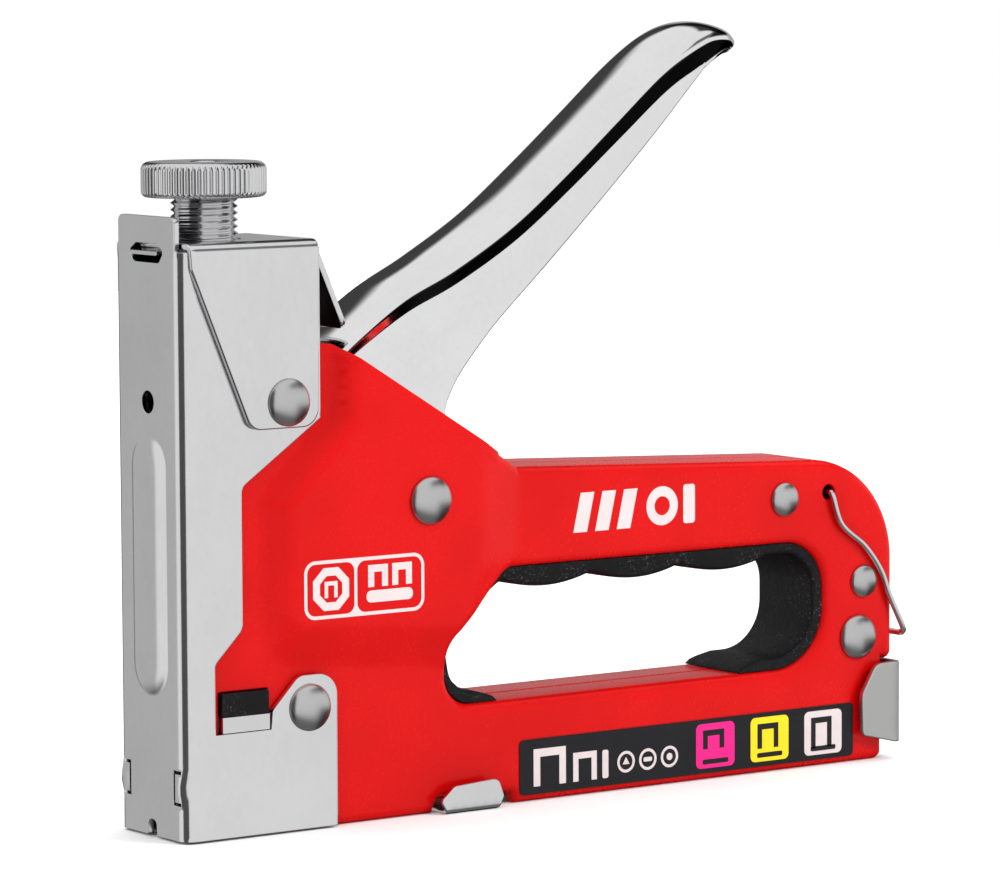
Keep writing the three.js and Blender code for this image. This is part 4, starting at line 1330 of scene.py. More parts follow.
@dataclass
class Adjuster:
    """The power adjuster: a knurled head on a threaded screw.

    Attributes:
        x: place of its upright axis.
        head_radius: radius over the knurl.
        head_foot: height of the head's underside.
        head_height: thickness of the head.
        teeth: ridges of the knurl.
        knurl: depth between them.
        round_top: rounding of the head's upper rim.
        round_foot: rounding of its lower rim.
        screw_radius: radius over the thread.
        pitch: the thread's pitch.
        groove: the thread's depth.
        screw_span: heights of the screw's two ends.
    """

    x: float = 12.6
    head_radius: float = 11.6
    head_foot: float = 118.1
    head_height: float = 6.5
    teeth: int = 64
    knurl: float = 0.42
    round_top: float = 1.5
    round_foot: float = 1.1
    screw_radius: float = 6.25
    pitch: float = 1.25
    groove: float = 0.75
    screw_span: tuple[float, float] = (97.1, 118.3)

    def _head(self) -> bpy.types.Object:
        """Build the head: straight knurl, rounded rims and a dimple.

        Returns:
            The piece.
        """
        steps = self.teeth * 10
        angle = np.linspace(0, 2 * math.pi, steps, endpoint=False)
        cut = (0.5 - 0.5 * np.cos(angle * self.teeth)) ** 3
        top = self.head_foot + self.head_height
        profile: list[tuple[float, float, float]] = [(self.screw_radius - 1.2, self.head_foot, 0.0)]
        for turn in np.radians(np.linspace(-90, 0, 7)):
            reach = self.head_radius - self.round_foot * (1 - math.cos(turn))
            z = self.head_foot + self.round_foot * (1 + math.sin(turn))
            profile.append((reach, z, max(0.0, 1 + turn / 1.1)))
        for turn in np.radians(np.linspace(0, 90, 9)):
            reach = self.head_radius - self.round_top * (1 - math.cos(turn))
            profile.append((reach, top - self.round_top * (1 - math.sin(turn)), max(0.0, 1 - turn / 0.9)))
        profile += [(2.9, top, 0.0), (2.5, top - 0.15, 0.0), (2.3, top - 0.7, 0.0), (0.05, top - 0.8, 0.0)]
        rows = []
        for radius, z, share in profile:
            reach = radius - self.knurl * share * cut
            rows.append(ring_of(self.x, reach, angle, np.full(steps, z)))
        shape = Shape()
        shape.closed(np.array(rows))
        return shape.build("knob_head_skin", Finishes.NICKEL, "knob", ["knob_head"], crease=50)

    def _screw(self) -> bpy.types.Object:
        """Build the screw: one helical thread whose rows follow its crest.

        Returns:
            The piece.
        """
        sides, per_pitch = 72, 8
        low, high = self.screw_span
        angle = np.linspace(0, 2 * math.pi, sides, endpoint=False)
        rows = []
        for k in range(-per_pitch, math.ceil((high - low) / self.pitch * per_pitch) + 1):
            z = low + self.pitch * (k / per_pitch + angle / (2 * math.pi))
            phase = abs(((k % per_pitch) / per_pitch) * 2 - 1)
            radius = self.screw_radius - self.groove * min(1.0, 1.15 * phase)
            ends = np.clip(np.minimum(z - low, high - z) / 0.8, 0, 1)
            reach = radius - 0.4 * (1 - ends)
            rows.append(ring_of(self.x, reach, angle, np.clip(z, low, high)))
        grid = np.array(rows)
        high_rows, wide = grid.shape[:2]
        faces = []
        for i in range(high_rows - 1):
            for j in range(wide):
                a, d = i * wide + j, (i + 1) * wide + j
                if j + 1 < wide:
                    faces.append((a, a + 1, d + 1, d))
                elif i + 1 + per_pitch < high_rows:
                    b = (i + per_pitch) * wide
                    faces.append((a, b, b + wide, d))
        shape = Shape()
        shape.add(grid.reshape(-1, 3), faces)
        for z in (low, high):
            shape.add(ring_of(self.x, self.screw_radius - 0.9, angle, np.full(wide, z)), [tuple(range(wide))])
        return shape.build("knob_screw_skin", Finishes.NICKEL, "knob", ["knob_screw"], crease=45)

    def build(self) -> list[bpy.types.Object]:
        """Build the head and the screw."""
        return [self._head(), self._screw()]


@dataclass
class Handle:
    """The squeeze handle: a pressed channel with a rounded back, a shoulder and a spoon-shaped tip.

    Attributes:
        cap_half: half width over the rounded back.
        leg_half: half width over the side walls, under the shoulder.
        tip_start: where the tip starts to narrow.
        tip_length: length over which it narrows to its end.
        pivot: x and z of the pivot.
        lobe: radius of the side walls round the pivot.
        bore: radius of the pivot's hole.
        stations: crown x and z, tilt in degrees, crown to shoulder, and the shoulder's own depth.
        lower: the side walls' lower edge, from the pivot to the tip.
        tuck: the side walls' upper edge, hidden under the shoulder, from the tip to the pivot.
    """

    cap_half: float = 9.1
    leg_half: float = 7.55
    tip_start: float = 111.0
    tip_length: float = 24.6
    pivot: tuple[float, float] = (53.6, 60.2)
    lobe: float = 8.4
    bore: float = 3.05
    stations: list[tuple[float, float, float, float, float]] = field(
        default_factory=lambda: [
            (26, 81.2, 42, 2.1, 2.1),
            (33, 87.4, 42, 2.1, 2.2),
            (40, 93.0, 37, 2.2, 2.5),
            (50, 100.0, 30, 2.6, 3.0),
            (61, 105.9, 28, 3.4, 3.2),
            (74, 113.6, 34, 3.6, 3.4),
            (86, 122.7, 38.5, 3.7, 3.6),
            (98, 132.4, 41, 3.6, 3.9),
            (109, 141.5, 39, 3.7, 4.2),
            (117, 146.9, 30, 4.2, 4.3),
            (123.5, 148.9, 10, 3.7, 4.0),
            (130, 147.9, -7, 2.6, 2.0),
            (133.8, 146.0, -28, 1.9, 0.8),
            (135.0, 144.9, -38, 1.2, 0.4),
        ]
    )
    lower: list[tuple[float, float]] = field(
        default_factory=lambda: [
            (61.0, 68.0),
            (60.9, 76.1),
            (62.4, 80.2),
            (64.9, 83.9),
            (69.0, 88.6),
            (73.7, 93.4),
            (83.0, 101.7),
            (92.5, 110.4),
            (102.1, 119.4),
            (111.8, 128.8),
            (119.0, 136.2),
            (123.4, 140.6),
        ]
    )
    tuck: list[tuple[float, float]] = field(
        default_factory=lambda: [
            (122.6, 142.0),
            (117.0, 139.4),
            (110.0, 135.2),
            (100.4, 127.6),
            (91.0, 119.8),
            (81.5, 112.6),
            (72.6, 106.6),
            (63.4, 101.8),
            (54.2, 97.8),
            (45.2, 93.4),
            (38.5, 89.2),
        ]
    )

    def _narrow(self, x: np.ndarray) -> np.ndarray:
        """Find the share of the full width at crown position x."""
        share = np.clip((x - self.tip_start) / self.tip_length, 0, 1)
        return np.sqrt(np.maximum(1 - share**2.6, 0.012))

    def _ring(self, station: np.ndarray, inset: float) -> np.ndarray:
        """Draw one cross-section, from its left lower edge over the crown to the right one.

        Args:
            station: one row of the stations.
            inset: how far inside the outer skin it lies.

        Returns:
            The section's points.
        """
        x, z, tilt, start, reach = station
        narrow = float(self._narrow(np.array(x)))
        cap, leg = (self.cap_half - inset) * narrow, (self.leg_half - 0.06 - inset) * narrow
        turn = np.radians(np.linspace(0, 90, 21))
        across = cap * np.sin(turn) ** 0.88
        drop = inset + (start - 0.4 * inset) * (1 - np.cos(turn) ** 0.9)
        t = np.linspace(0, 1, 15)[1:]
        rise = soft_step(1.1 * t - 0.05, 0.1)
        across = np.concatenate([across, cap + (leg - cap) * rise / rise[-1], [leg]])
        drop = np.concatenate([drop, drop[-1] + reach * t, [drop[-1] + reach + 0.3]])
        angle = math.radians(tilt)
        down = np.array([math.sin(angle), 0.0, -math.cos(angle)])
        right = np.array([x, 0.0, z]) + drop[:, None] * down + across[:, None] * np.array([0.0, 1.0, 0.0])
        left = right[:0:-1] * np.array([1.0, -1.0, 1.0])
        return np.concatenate([left, right])

    def _crown(self, shape: Shape) -> None:
        """Add the lofted back: outer skin, inner skin and the edges between them.

        Args:
            shape: the shape that takes it.
        """
        stations = smooth_path(self.stations, 10)
        outer = np.array([self._ring(s, 0.0) for s in stations])
        inner = np.array([self._ring(s, SHEET) for s in stations])
        high, wide = outer.shape[:2]
        size, base = high * wide, shape.count
        shape.grid(outer)
        shape.grid(inner, flip=True)
        border = [(0, j) for j in range(wide)] + [(i, wide - 1) for i in range(1, high)]
        border += [(high - 1, j) for j in range(wide - 2, -1, -1)] + [(i, 0) for i in range(high - 2, 0, -1)]
        for (i, j), (m, n) in zip(border, border[1:] + border[:1]):
            a, b = i * wide + j, m * wide + n
            shape.faces.append(tuple(base + k for k in (b, a, a + size, b + size)))

    def _half(self, flat: np.ndarray) -> np.ndarray:
        """Find the half width over the side walls, which narrow with the tip.

        Args:
            flat: points of the side view.

        Returns:
            The half width at each of them.
        """
        stations = smooth_path(self.stations, 10)
        tilt = np.radians(stations[:, 2])
        along = (flat[:, :1] - stations[:, 0]) * np.cos(tilt) + (flat[:, 1:] - stations[:, 1]) * np.sin(tilt)
        nearest = np.clip((along > 0).sum(axis=1) - 1, 0, len(stations) - 1)
        return self.leg_half * self._narrow(stations[nearest, 0])

    def build(self) -> bpy.types.Object:
        """Build the handle: its back and its two side walls down to the pivot.

        Returns:
            The piece.
        """
        shape = Shape()
        self._crown(shape)
        px, pz = self.pivot
        below = smooth_path(self.lower, 4)
        above = smooth_path(self.tuck, 4)
        foot = pz - self.lobe
        around = [(px - self.lobe, foot, self.lobe), (px + self.lobe - 0.3, foot, self.lobe - 0.4)]
        lobe = outline([*around, self.lower[0], (px - 1.5 * self.lobe, 86)])
        wall = np.concatenate([lobe[:-2], below, above])
        rims = [Rim(wall, 0.3), Rim(circle(px, pz, self.bore), 0.3)]
        for side in (-1.0, 1.0):
            PressedSheet(rims, self._half, on_side(side), spacing=2.0, flip=side > 0, edge=0.2).draw(shape)
        return shape.build("handle_skin", Finishes.POLISHED, "lever", ["handle"], crease=50)


@dataclass
class FingerPad:
    """The grained pad that lines the finger opening, with three hollows under the grip.

    Attributes:
        half: half width.
        wall: thickness of its plain wall.
        gap: distance from the shells' edge.
        lobe_start: where the first of the three lobes on its roof starts.
        lobe_end: where the last one ends.
        sag: how far the lobes hang down.
        floor_gap: stretch of the opening's floor that is left bare.
        taper: length over which both ends grow thin.
    """

    half: float = 8.9
    wall: float = 2.2
    gap: float = 0.1
    lobe_start: float = 72.9
    lobe_end: float = 137.4
    sag: float = 2.0
    floor_gap: tuple[float, float] = (72.6, 129.6)
    taper: float = 6.0

    def _path(self) -> np.ndarray:
        """Follow the pad's back, from its rear floor end round to its front floor end.

        Returns:
            Points along it in the side view.
        """
        loop = evened(outline(HOLE_CORNERS, self.gap, 1.0), 1.0)
        floor = HOLE_CORNERS[0][1] + self.gap + 0.01
        kept = ~((loop[:, 1] < floor) & (loop[:, 0] > self.floor_gap[0]) & (loop[:, 0] < self.floor_gap[1]))
        start = next(k for k in range(len(loop)) if kept[k] and not kept[k - 1])
        order = np.roll(np.arange(len(loop)), -start)
        return loop[[k for k in order if kept[k]]]

    def _thickness(self, path: np.ndarray) -> np.ndarray:
        """Find the wall's thickness, with lobes on the roof and thin ends.

        Args:
            path: points along the pad's back.

        Returns:
            The thickness at each of them.
        """
        step = np.linalg.norm(np.diff(path, axis=0), axis=1)
        run = np.concatenate([[0], np.cumsum(step)])
        ends = np.minimum(run, run[-1] - run)
        thick = self.wall * np.clip(ends / self.taper, 0.0, 1.0) ** 0.5 + 0.05
        share = (path[:, 0] - self.lobe_start) / (self.lobe_end - self.lobe_start)
        wave = np.abs(np.sin(3 * math.pi * share)) ** 0.8
        on_roof = (path[:, 1] > 40) & (share > 0) & (share < 1)
        front = (path[:, 0] < 72.6) & (path[:, 1] > 21)
        thin = np.clip(np.abs(path[:, 1] - 34.0) / 11.5, 0.08, 1) ** 1.5
        return thick * np.where(front, thin, 1) + np.where(on_roof, self.sag * wave, 0)

    def build(self) -> bpy.types.Object:
        """Build the pad.

        Returns:
            The piece.
        """
        path = self._path()
        thick = self._thickness(path)
        tangent = unit(np.gradient(path, axis=0))
        inward = np.stack([-tangent[:, 1], tangent[:, 0]], axis=1)
        rows = []
        for point, side, t in zip(path, inward, thick):
            r = min(0.9, 0.45 * t)
            section: list[tuple[float, float]] = [(-self.half, 0.0)]
            for a in np.radians(np.linspace(0, 90, 6)):
                section.append((-self.half + r * (1 - math.cos(a)), t - r * (1 - math.sin(a))))
            for y in np.linspace(-self.half + 1.4, self.half - 1.4, 9):
                section.append((y, t + 0.15 * (1 - (y / self.half) ** 2)))
            for a in np.radians(np.linspace(90, 0, 6)):
                section.append((self.half - r * (1 - math.cos(a)), t - r * (1 - math.sin(a))))
            section.append((self.half, 0.0))
            rows.append([(point[0] + side[0] * d, y, point[1] + side[1] * d) for y, d in section])
        shape = Shape()
        shape.closed(np.array(rows))
        return shape.build("finger_pad", Finishes.LINER, "frame", ["grip_liner"], crease=60)


@dataclass
class BailWire:
    """The bent wire that hooks over the closed handle.

    Attributes:
        pivot: x and z of its two holes.
        radius: the wire's radius.
        out: distance of its two legs from the middle plane.
        end: x of the bar behind the tail.
    """

    pivot: tuple[float, float] = (152.1, 55.0)
    radius: float = 0.6
    out: float = 11.1
    end: float = 170.95

    def build(self) -> bpy.types.Object:
        """Build the wire through its two holes and round the tail.

        Returns:
            The piece.
        """
        x, z = self.pivot
        near = [
            (x, -(self.out - 3.4), z),
            (x, -(self.out - 0.7), z),
            (x + 0.3, -self.out, z - 0.8),
            (x + 2.6, -self.out, z - 6.6),
            (x + 8.4, -self.out, z - 11.2),
            (x + 12.6, -self.out, z - 16.4),
            (x + 15.2, -self.out, z - 22.2),
            (self.end - 0.4, -self.out, z - 28.4),
            (self.end, -(self.out - 0.9), z - 29.6),
            (self.end, -(self.out - 2.4), z - 29.8),
        ]
        far = [(px, -py, pz) for px, py, pz in reversed(near)]
        shape = Shape()
        shape.closed(tube(smooth_path([*near, *far], 8), self.radius, 14))
        return shape.build("bail_wire_skin", Finishes.NICKEL, "bail", ["bail_wire"], crease=60)


@dataclass
class Rivet:
    """One domed rivet right through the tool.

    Attributes:
        name: the model node that it stands for.
        x: place along the tool.
        z: height.
        seat: half width of what it holds together.
        head: radius of its two domes.
        shank: radius of its shank.
    """

    name: str
    x: float
    z: float
    seat: float
    head: float
    shank: float

    def build(self) -> bpy.types.Object:
        """Build both domes and the shank between them.

        Returns:
            The piece.
        """
        rise, sides = 0.42 * self.head, 56
        seat = self.seat + 0.05
        profile = [(self.shank, 0.0), (self.shank, seat)]
        profile += [(self.head - 0.25, seat), (self.head - 0.05, seat + 0.08)]
        for turn in np.radians(np.linspace(4, 89, 12)):
            profile.append((self.head * math.cos(turn), seat + 0.1 + (rise - 0.1) * math.sin(turn)))
        profile.append((0.02, seat + rise))
        whole = [(r, -h) for r, h in reversed(profile[1:])] + profile
        angle = np.linspace(0, 2 * math.pi, sides, endpoint=False)
        rows = [
            np.stack([self.x + r * np.cos(angle), np.full(sides, h), self.z + r * np.sin(angle)], axis=1)
            for r, h in whole
        ]
        shape = Shape()
        shape.closed(np.array(rows))
        return shape.build(self.name + "_skin", Finishes.DOME, "frame", [self.name], crease=45)


RIVETS = [
    Rivet("rivet_bracket", 22.4, 80.4, BRACKET_HALF, 4.45, 2.2),
    Rivet("rivet_pivot", 53.6, 60.2, FIELD_HALF, 4.6, 2.6),
    Rivet("rivet_nose", 27.3, 23.2, COVER_HALF, 4.45, 2.2),
    Rivet("rivet_grip", 140.8, 54.3, BODY_HALF, 3.4, 1.9),
    Rivet("rivet_tail_upper", 161.0, 36.5, BODY_HALF, 3.3, 1.9),
    Rivet("rivet_tail_lower", 159.5, 25.3, BODY_HALF, 4.5, 2.2),
]


@dataclass
class MagazineTrim:
    """The rear clip and the strap under the magazine.

    Attributes:
        clip: the clip's bends round the tail.
        clip_back: x of the clip's outer face.
        clip_leg: one leg's edge, from its foot up, as x, z and fillet radius.
        strap: the strap's bends into its two wings.
    """

    clip: Fold = Fold(12.6, 1.6)
    clip_back: float = 169.3
    clip_leg: list[Corner] = field(
        default_factory=lambda: [(167.6, 3.5, 1.5), (159.2, 5.5, 1), (158.9, 13.8, 3), (162.6, 19.8, 3)]
    )
    strap: Fold = Fold(13.0, 1.0, 0.8)

    def _clip(self) -> bpy.types.Object:
        """Build the satin clip round the tail.

        Returns:
            The piece.
        """
        edge = [(self.clip.leg(self.clip_back - x), z, radius) for x, z, radius in self.clip_leg]
        half = [(self.clip.flat_half, 3.4), *edge, (self.clip.flat_half, 19.9)]
        rims = [Rim(outline(mirrored(half), 0.35))]
        lines = self.clip.strips(2.0, 24.0, 1.2)

        def place(s: np.ndarray, z: np.ndarray, h: np.ndarray) -> np.ndarray:
            """Fold the clip round the tail."""
            across, depth = self.clip.put(s, h)
            return np.stack([self.clip_back - depth, across, z], axis=1)

        shape = Shape()
        PressedSheet(rims, flat_at(SHEET), place, lines=lines, spacing=1.4).draw(shape)
        return shape.build("end_clip_skin", Finishes.SATIN, "magazine_slide", ["end_clip"], crease=40)

    def _strap(self) -> bpy.types.Object:
        """Build the strap with its turned-up wings.

        Returns:
            The piece.
        """
        up = self.strap.leg
        front = [(self.strap.flat_half, 57.6), (up(2.6), 56.0, 0.8), (up(5.3), 59.2, 1.6)]
        rear = [(up(5.9), 69.2, 1.6), (up(2.2), 70.6, 0.8), (self.strap.flat_half, 69.4)]
        corners = mirrored([*front, *rear])
        rims = [Rim(outline(corners, 0.3), 0.3)]
        lines = self.strap.strips(50.0, 80.0, 1.2, 4)

        def place(s: np.ndarray, x: np.ndarray, h: np.ndarray) -> np.ndarray:
            """Fold the wings up from the sole."""
            across, depth = self.strap.put(s, h)
            return np.stack([x, across, depth], axis=1)

        thick = self.strap.sheet
        shape = Shape()
        PressedSheet(rims, flat_at(thick), place, thick, 1.4, lines, flip=True, edge=0.15).draw(shape)
        return shape.build("magazine_strap_skin", Finishes.NICKEL, "frame", ["magazine_strap"], crease=40)

    def build(self) -> list[bpy.types.Object]:
        """Build the clip and the strap."""
        return [self._clip(), self._strap()]


# ---- Print ----


@dataclass
class Print:
    """Flat printed artwork on one side of the tool, drawn in the side view.

    Attributes:
        side: -1 for the left side, 1 for the right.
        level: distance of its base from the middle plane.
        thickness: thickness of the ink or film.
    """

    side: float
    level: float
    thickness: float = 0.04

    def ink(self, name: str, finish: Finishes, loops: Sequence[Sequence[Loop]]) -> bpy.types.Object:
        """Build one colour of the print.

        Args:
            name: the piece's name.
            finish: its ink.
            loops: patches, each an outline followed by its holes.

        Returns:
            The piece.
        """
        shape = Shape()
        top, place, flip = flat_at(self.level + self.thickness), on_side(self.side), self.side > 0
        for patch in loops:
            rims = [Rim(loop, 0.03) for loop in patch]
            PressedSheet(rims, top, place, self.thickness, 3.0, edge=0.012, flip=flip).draw(shape)
        return shape.build(name, finish, "frame", crease=60)


def rounded(x0: float, x1: float, z0: float, z1: float, radius: float) -> Loop:
    """Draw a rounded rectangle."""
    return outline([(x0, z0, radius), (x1, z0, radius), (x1, z1, radius), (x0, z1, radius)], chord=0.25)


def polygon(x: float, z: float, radius: float, sides: int, turn: float = 0.0) -> Loop:
    """Draw a regular polygon."""
    angle = np.linspace(0, 2 * math.pi, sides, endpoint=False) + turn
    return np.stack([x + radius * np.cos(angle), z + radius * np.sin(angle)], axis=1)


def staple_sign(x: float, z: float, wide: float, tall: float, bar: float) -> Loop:
    """Draw one staple, a crown on two legs.

    Args:
        x: left edge.
        z: lower edge.
        wide: width over its legs.
        tall: height.
        bar: width of its bars.

    Returns:
        Its outline.
    """
    far, top, under = x + wide, z + tall, z + tall - bar
    legs = [(x, z), (x + bar, z), (x + bar, under), (far - bar, under), (far - bar, z), (far, z)]
    return np.array([*legs, (far, top), (x, top)])


@dataclass
class Markings:
    """Black side labels with plain staple signs, and generic white signs on the shell.

    Attributes:
        label: x and z ranges of a label.
        label_rise: thickness of its film.
        squares: left edges of its coloured squares.
        square: width and height of a square.
    """

    label: tuple[float, float, float, float] = (76.0, 158.2, 1.4, 12.1)
    label_rise: float = 0.25
    squares: tuple[float, ...] = (118.5, 132.1, 145.7)
    square: tuple[float, float] = (9.5, 8.8)

    def _label(self, side: float, name: str) -> list[bpy.types.Object]:
        """Build one label with its artwork.

        Args:
            side: -1 for the left side, 1 for the right.
            name: the label's node.

        Returns:
            The film and its inks.
        """
        film = Print(side, BODY_HALF, self.label_rise)
        x0, x1, z0, z1 = self.label
        pieces = [film.ink(name + "_film", Finishes.FILM, [[rounded(x0, x1, z0, z1, 1.0)]])]
        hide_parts(name)
        ink = Print(side, BODY_HALF + self.label_rise)
        wide, tall = self.square
        low = z0 + 1.0
        for x, finish in zip(self.squares, (Finishes.PINK_INK, Finishes.YELLOW_INK, Finishes.WHITE_INK)):
            patch = rounded(x, x + wide, low, low + tall, 1.1)
            tag = finish.value.name.split("_")[0]
            pieces.append(ink.ink(f"{name}_{tag}_square", finish, [[patch]]))
        over = Print(side, BODY_HALF + self.label_rise + 0.04)
        signs = []
        for k, x in enumerate(self.squares):
            leg = 2.4 + 1.2 * k
            signs.append([staple_sign(x + 1.7, low + 6.2 - leg, 5.2, leg + 1.3, 1.1)])
            signs.append([rounded(x + 1.6, x + wide - 1.6, low + 0.8, low + 1.7, 0.3)])
        pieces.append(over.ink(name + "_staples", Finishes.BLACK_INK, signs))
        white = [[staple_sign(79.2, 2.9, 7.6, 7.2, 1.5)], [staple_sign(88.6, 2.9, 5.6, 5.6, 1.2)]]
        white.append([rounded(95.6, 97.0, 2.9, 8.4, 0.4)])
        for x in (101.3, 106.6, 111.9):
            white.append([circle(x, 5.6, 2.1, 28), circle(x, 5.6, 1.6, 28)])
        white.append([polygon(101.3, 5.6, 0.9, 3, math.pi / 2)])
        white.append([rounded(105.6, 107.6, 5.2, 6.0, 0.2)])
        white.append([circle(111.9, 5.6, 0.7, 16)])
        pieces.append(ink.ink(name + "_signs", Finishes.WHITE_INK, white))
        return pieces

    def _shell_signs(self, side: float, name: str) -> bpy.types.Object:
        """Build the white signs printed on one shell.

        Args:
            side: -1 for the left side, 1 for the right.
            name: the side's name.

        Returns:
            The piece.
        """
        box = [rounded(25.2, 52.0, 39.7, 50.6, 2.4), rounded(25.8, 36.3, 40.3, 50.0, 1.8)]
        box.append(rounded(36.9, 51.4, 40.3, 50.0, 1.8))
        turn = math.pi / 8
        field_marks = [box, [polygon(31.1, 45.2, 4.3, 8, turn), polygon(31.1, 45.2, 2.7, 8, turn)]]
        field_marks.append([staple_sign(29.7, 43.6, 2.8, 3.0, 0.7)])
        field_marks.append([outline([(39, 42, 1), (49.4, 42, 1), (49.4, 44.2, 1), (39, 44.2, 1)])])
        field_marks.append([staple_sign(39.4, 44.9, 4.4, 4.1, 1.3)])
        field_marks.append([staple_sign(44.8, 44.9, 4.4, 4.1, 1.3)])
        return Print(side, FIELD_HALF).ink(name + "_field_signs", Finishes.WHITE_INK, field_marks)

    def _grip_mark(self, side: float, name: str) -> bpy.types.Object:
        """Build the white mark on one side of the grip: leaning bars, a ring and an upright bar.

        Args:
            side: -1 for the left side, 1 for the right.
            name: the side's name.

        Returns:
            The piece.
        """
        marks = []
        for k in range(3):
            x = 89.0 + 5.2 * k
            marks.append([np.array([(x, 51.3), (x + 3.2, 51.3), (x + 5.0, 58.9), (x + 1.8, 58.9)])])
        marks.append([circle(110.4, 55.1, 3.8, 40), circle(110.4, 55.1, 1.9, 32)])
        marks.append([rounded(115.6, 118.4, 51.3, 58.9, 0.6)])
        return Print(side, BODY_HALF).ink(name + "_grip_mark", Finishes.WHITE_INK, marks)

    def build(self) -> list[bpy.types.Object]:
        """Build the labels and the signs of both sides.

        Returns:
            The pieces.
        """
        pieces = []
        for side, name in ((-1.0, "left"), (1.0, "right")):
            pieces += self._label(side, name + "_label")
            pieces += [self._shell_signs(side, name), self._grip_mark(side, name)]
        return pieces


# ---- Pieces kept from the model ----


@dataclass
class Mechanism:
    """The working pieces whose model shape is already right: they get softened edges and a finish.

    Attributes:
        finishes: the finish of each model node.
        bevel: width of the softened edges, which springs don't need.
        sharp: angle in degrees from which an edge counts as one.
    """

    finishes: dict[str, Finishes] = field(
        default_factory=lambda: {
            "adjuster_nut": Finishes.STEEL,
            "spring_cap": Finishes.STEEL,
            "main_spring": Finishes.SPRING,
            "hammer": Finishes.STEEL,
            "driver_blade": Finishes.STEEL,
            "blade_guide": Finishes.STEEL,
            "bumper": Finishes.RUBBER,
            "bumper_plate": Finishes.NICKEL,
            "lift_lever": Finishes.STEEL,
            "lift_pin": Finishes.STEEL,
            "return_spring": Finishes.SPRING,
            "magazine_channel": Finishes.STEEL,
            "staple_rail": Finishes.STEEL,
            "guide_rod": Finishes.STEEL,
            "pusher": Finishes.STEEL,
            "pusher_spring": Finishes.SPRING,
        }
    )
    bevel: float = 0.18
    sharp: float = 40.0

    def build(self) -> None:
        """Dress each model node."""
        for name, finish in self.finishes.items():
            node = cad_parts[name]
            node.data.materials.clear()
            node.data.materials.append(material_of(finish))
            node.data.shade_smooth()
            node.data.set_sharp_from_angle(angle=math.radians(self.sharp))
            if "spring" not in name:
                soft = node.modifiers.new("soft_edges", "BEVEL")
                soft.width = self.bevel * MM
                soft.segments = 2
                soft.limit_method = "ANGLE"
                soft.angle_limit = math.radians(self.sharp)
                soft.harden_normals = False
            LOG.info("%s: model shape in %s", name, finish.value.name)


# ---- Studio ----


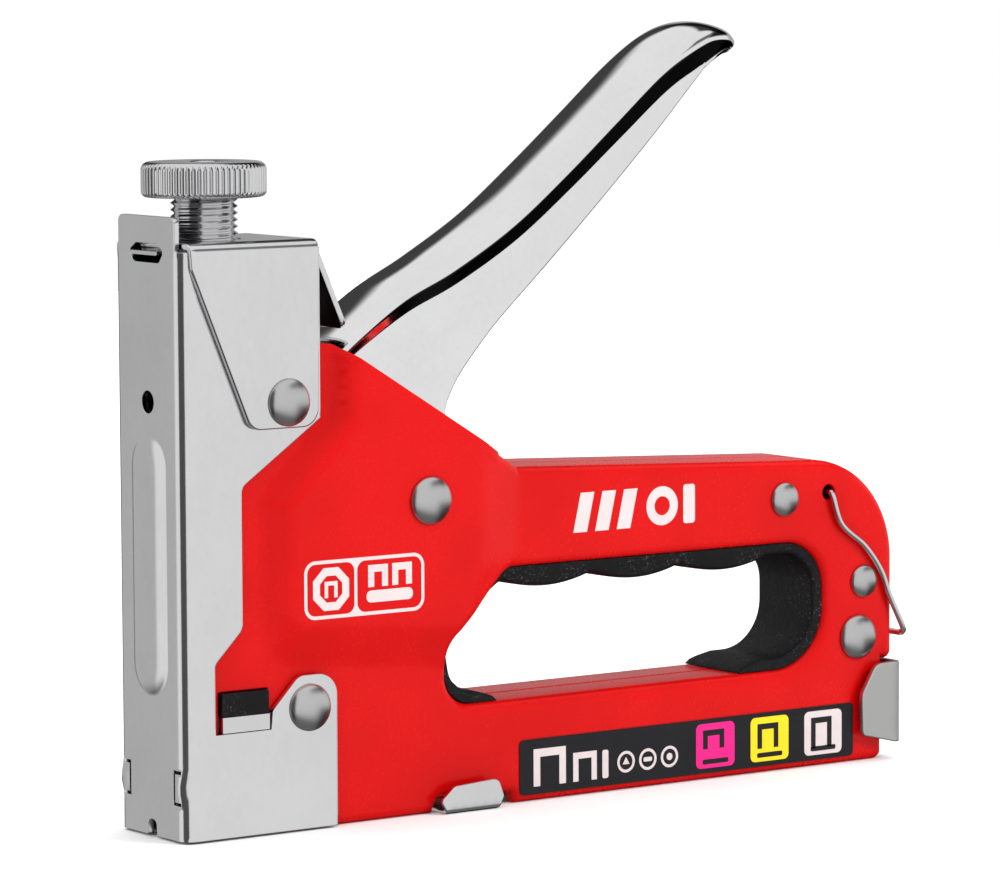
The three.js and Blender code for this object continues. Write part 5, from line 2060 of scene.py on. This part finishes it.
@dataclass
class Studio:
    """Camera, pale floor, soft lights and the bright and dark walls that the plating mirrors.

    Attributes:
        camera_at: the camera's place in the tool's own frame, in millimetres.
        azimuth: degrees that it looks to the right of straight along Y.
        elevation: degrees that it looks down.
        roll: degrees that it leans.
        lens: focal length in millimetres.
        sensor: width of its sensor in millimetres.
        floor_reach: half the floor's side, in metres.
        lamps: place in metres, side in metres and watts of each soft lamp.
    """

    camera_at: tuple[float, float, float] = (-476.96, -788.22, 162.91)
    azimuth: float = -35.2
    elevation: float = 5.5
    roll: float = -0.28
    lens: float = 181.1
    sensor: float = 36.0
    floor_reach: float = 1.3
    lamps: dict[str, tuple[tuple[float, float, float], float, float]] = field(
        default_factory=lambda: {
            "key": ((0.8, -1.1, 0.9), 0.6, 15.0),
            "nose_fill": ((-1.3, -0.3, 0.5), 0.7, 4.0),
            "top_fill": ((0.1, 0.2, 1.6), 1.2, 9.0),
            "back_fill": ((0.6, 1.4, 0.8), 1.0, 5.0),
        }
    )

    def _camera(self) -> None:
        """Put the camera where it sees the tool from its front left."""
        data = bpy.data.cameras.new("camera")
        data.lens, data.sensor_width, data.sensor_fit = self.lens, self.sensor, "HORIZONTAL"
        data.clip_start, data.clip_end = 0.05, 50.0
        camera = bpy.data.objects.new("camera", data)
        bpy.context.scene.collection.objects.link(camera)
        a, e, r = (math.radians(v) for v in (self.azimuth, self.elevation, self.roll))
        back = Vector((math.sin(a) * math.cos(e), -math.cos(a) * math.cos(e), math.sin(e)))
        right = Vector((math.cos(a), math.sin(a), 0.0))
        up = back.cross(right)
        turned = math.cos(r) * right + math.sin(r) * up
        lifted = -math.sin(r) * right + math.cos(r) * up
        x, y, z = self.camera_at
        matrix = camera.matrix_world.copy()
        for row in range(3):
            matrix[row][0], matrix[row][1], matrix[row][2] = turned[row], lifted[row], back[row]
        matrix[0][3], matrix[1][3], matrix[2][3] = x * MM + ORIGIN_X, y * MM, z * MM
        camera.matrix_world = matrix
        bpy.context.scene.camera = camera

    def _floor(self) -> None:
        """Lay the plain pale floor."""
        mesh = bpy.data.meshes.new("floor")
        reach = self.floor_reach
        corners = [(-reach, -reach, 0), (reach, -reach, 0), (reach, reach, 0), (-reach, reach, 0)]
        mesh.from_pydata(corners, [], [(0, 1, 2, 3)])
        floor = bpy.data.objects.new("floor", mesh)
        bpy.context.scene.collection.objects.link(floor)
        graph = Graph(bpy.data.materials.new("floor_paper"))
        tone = graph.mix(graph.noise(graph.place(), 60.0), (0.86, 0.86, 0.86), (0.90, 0.90, 0.90))
        mesh.materials.append(graph.surface({"Base Color": tone, "Roughness": 0.9}))
        floor.visible_glossy = False
        floor.visible_shadow = False
        floor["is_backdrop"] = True

    @staticmethod
    def _light(name: str, at: Sequence[float], size: float, power: float) -> None:
        """Hang one soft lamp that points at the tool.

        Args:
            name: the lamp's name.
            at: where it hangs, in metres.
            size: side of its square face, in metres.
            power: watts.
        """
        data = bpy.data.lights.new(name, "AREA")
        data.shape, data.size, data.energy = "SQUARE", size, power
        lamp = bpy.data.objects.new(name, data)
        bpy.context.scene.collection.objects.link(lamp)
        lamp.location = at
        target = Vector((0.0, 0.0, 0.06))
        lamp.rotation_euler = (target - Vector(at)).to_track_quat("-Z", "Y").to_euler()
        lamp.visible_glossy = False

    @staticmethod
    def _walls() -> None:
        """Surround the tool with bright and dark walls of soft light.

        The plating mirrors them: the back wall darkens the handle's crown, the gutter its shoulder, the
        doorway the nose's corner and the beam the bracket's edges. Camera and diffuse rays see plain light.
        """
        world = bpy.data.worlds.new("studio")
        bpy.context.scene.world = world
        graph = Graph(world)
        point = graph.node("TexCoord", output="Generated")
        x, y, z = (graph.node("SeparateXYZ", inputs={0: point}, output=axis) for axis in range(3))
        behind = y.smooth(0.02, 0.22)
        right = x.smooth(-0.08, 0.08)
        bench = x.smooth(0.44, 0.56) * z.smooth(-0.28, -0.2) * (1.0 - z.smooth(0.25, 0.4))
        roof = z.smooth(0.50, 0.57) * (1.0 - x.smooth(0.38, 0.5)) * (1.0 - (y - 0.25 * x).smooth(0.74, 0.80))
        back_wall = behind * right * (1.0 - roof)
        level = 0.80 * (1.0 - back_wall) + back_wall * (0.05 + 0.36 * bench)
        level = level - 0.33 * y.smooth(0.6, 0.74) * (1.0 - right) * (1.0 - z.smooth(0.4, 0.6))
        level = level * (1.0 - 0.8 * (-1.0 * z).smooth(0.25, 0.6))
        flank = x.smooth(0.75, 0.83) * (1.0 - bench)
        gutter = x.smooth(0.6, 0.68) * (-1.0 * z).smooth(0.13, 0.2)
        level = level * (1.0 - 0.93 * gutter)
        beam = x.smooth(0.36, 0.48) * z.smooth(0.34, 0.42) * (1.0 - z.smooth(0.62, 0.70))
        doorway = (-1.0 * x).smooth(0.58, 0.66) * (1.0 - y.smooth(0.02, 0.12))
        level = level * (1.0 - 0.9 * flank) * (1.0 - 0.8 * beam) * (1.0 - 0.9 * doorway)
        seen = graph.node("LightPath", output="Is Camera Ray")
        soft = graph.node("LightPath", output="Is Diffuse Ray")
        strength = level + seen * (1.0 - level) + soft * (0.42 + 0.72 * z.smooth(-0.1, 0.7) - level)
        shader = graph.node("Background", inputs={"Color": (1.0, 1.0, 1.0, 1.0), "Strength": strength})
        graph.node("OutputWorld", inputs={"Surface": shader})

    def build(self) -> None:
        """Set up the studio."""
        bpy.context.scene.view_settings.view_transform = "Standard"
        self._camera()
        self._floor()
        for name, (at, size, power) in self.lamps.items():
            self._light(name, at, size, power)
        self._walls()


def main() -> None:
    """Build the studio and every sub-assembly."""
    logging.basicConfig(level=logging.INFO, format="%(name)s: %(message)s")
    Studio().build()
    Shells().build()
    NoseCover().build()
    TopBracket().build()
    Adjuster().build()
    Handle().build()
    FingerPad().build()
    BailWire().build()
    for rivet in RIVETS:
        rivet.build()
    MagazineTrim().build()
    Markings().build()
    Mechanism().build()
    boxes = {"cad": MODEL_BOX, "visual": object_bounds()}
    sizes = {name: [list(corner) for corner in box] for name, box in boxes.items()}


if __name__ == "__main__":
    main()
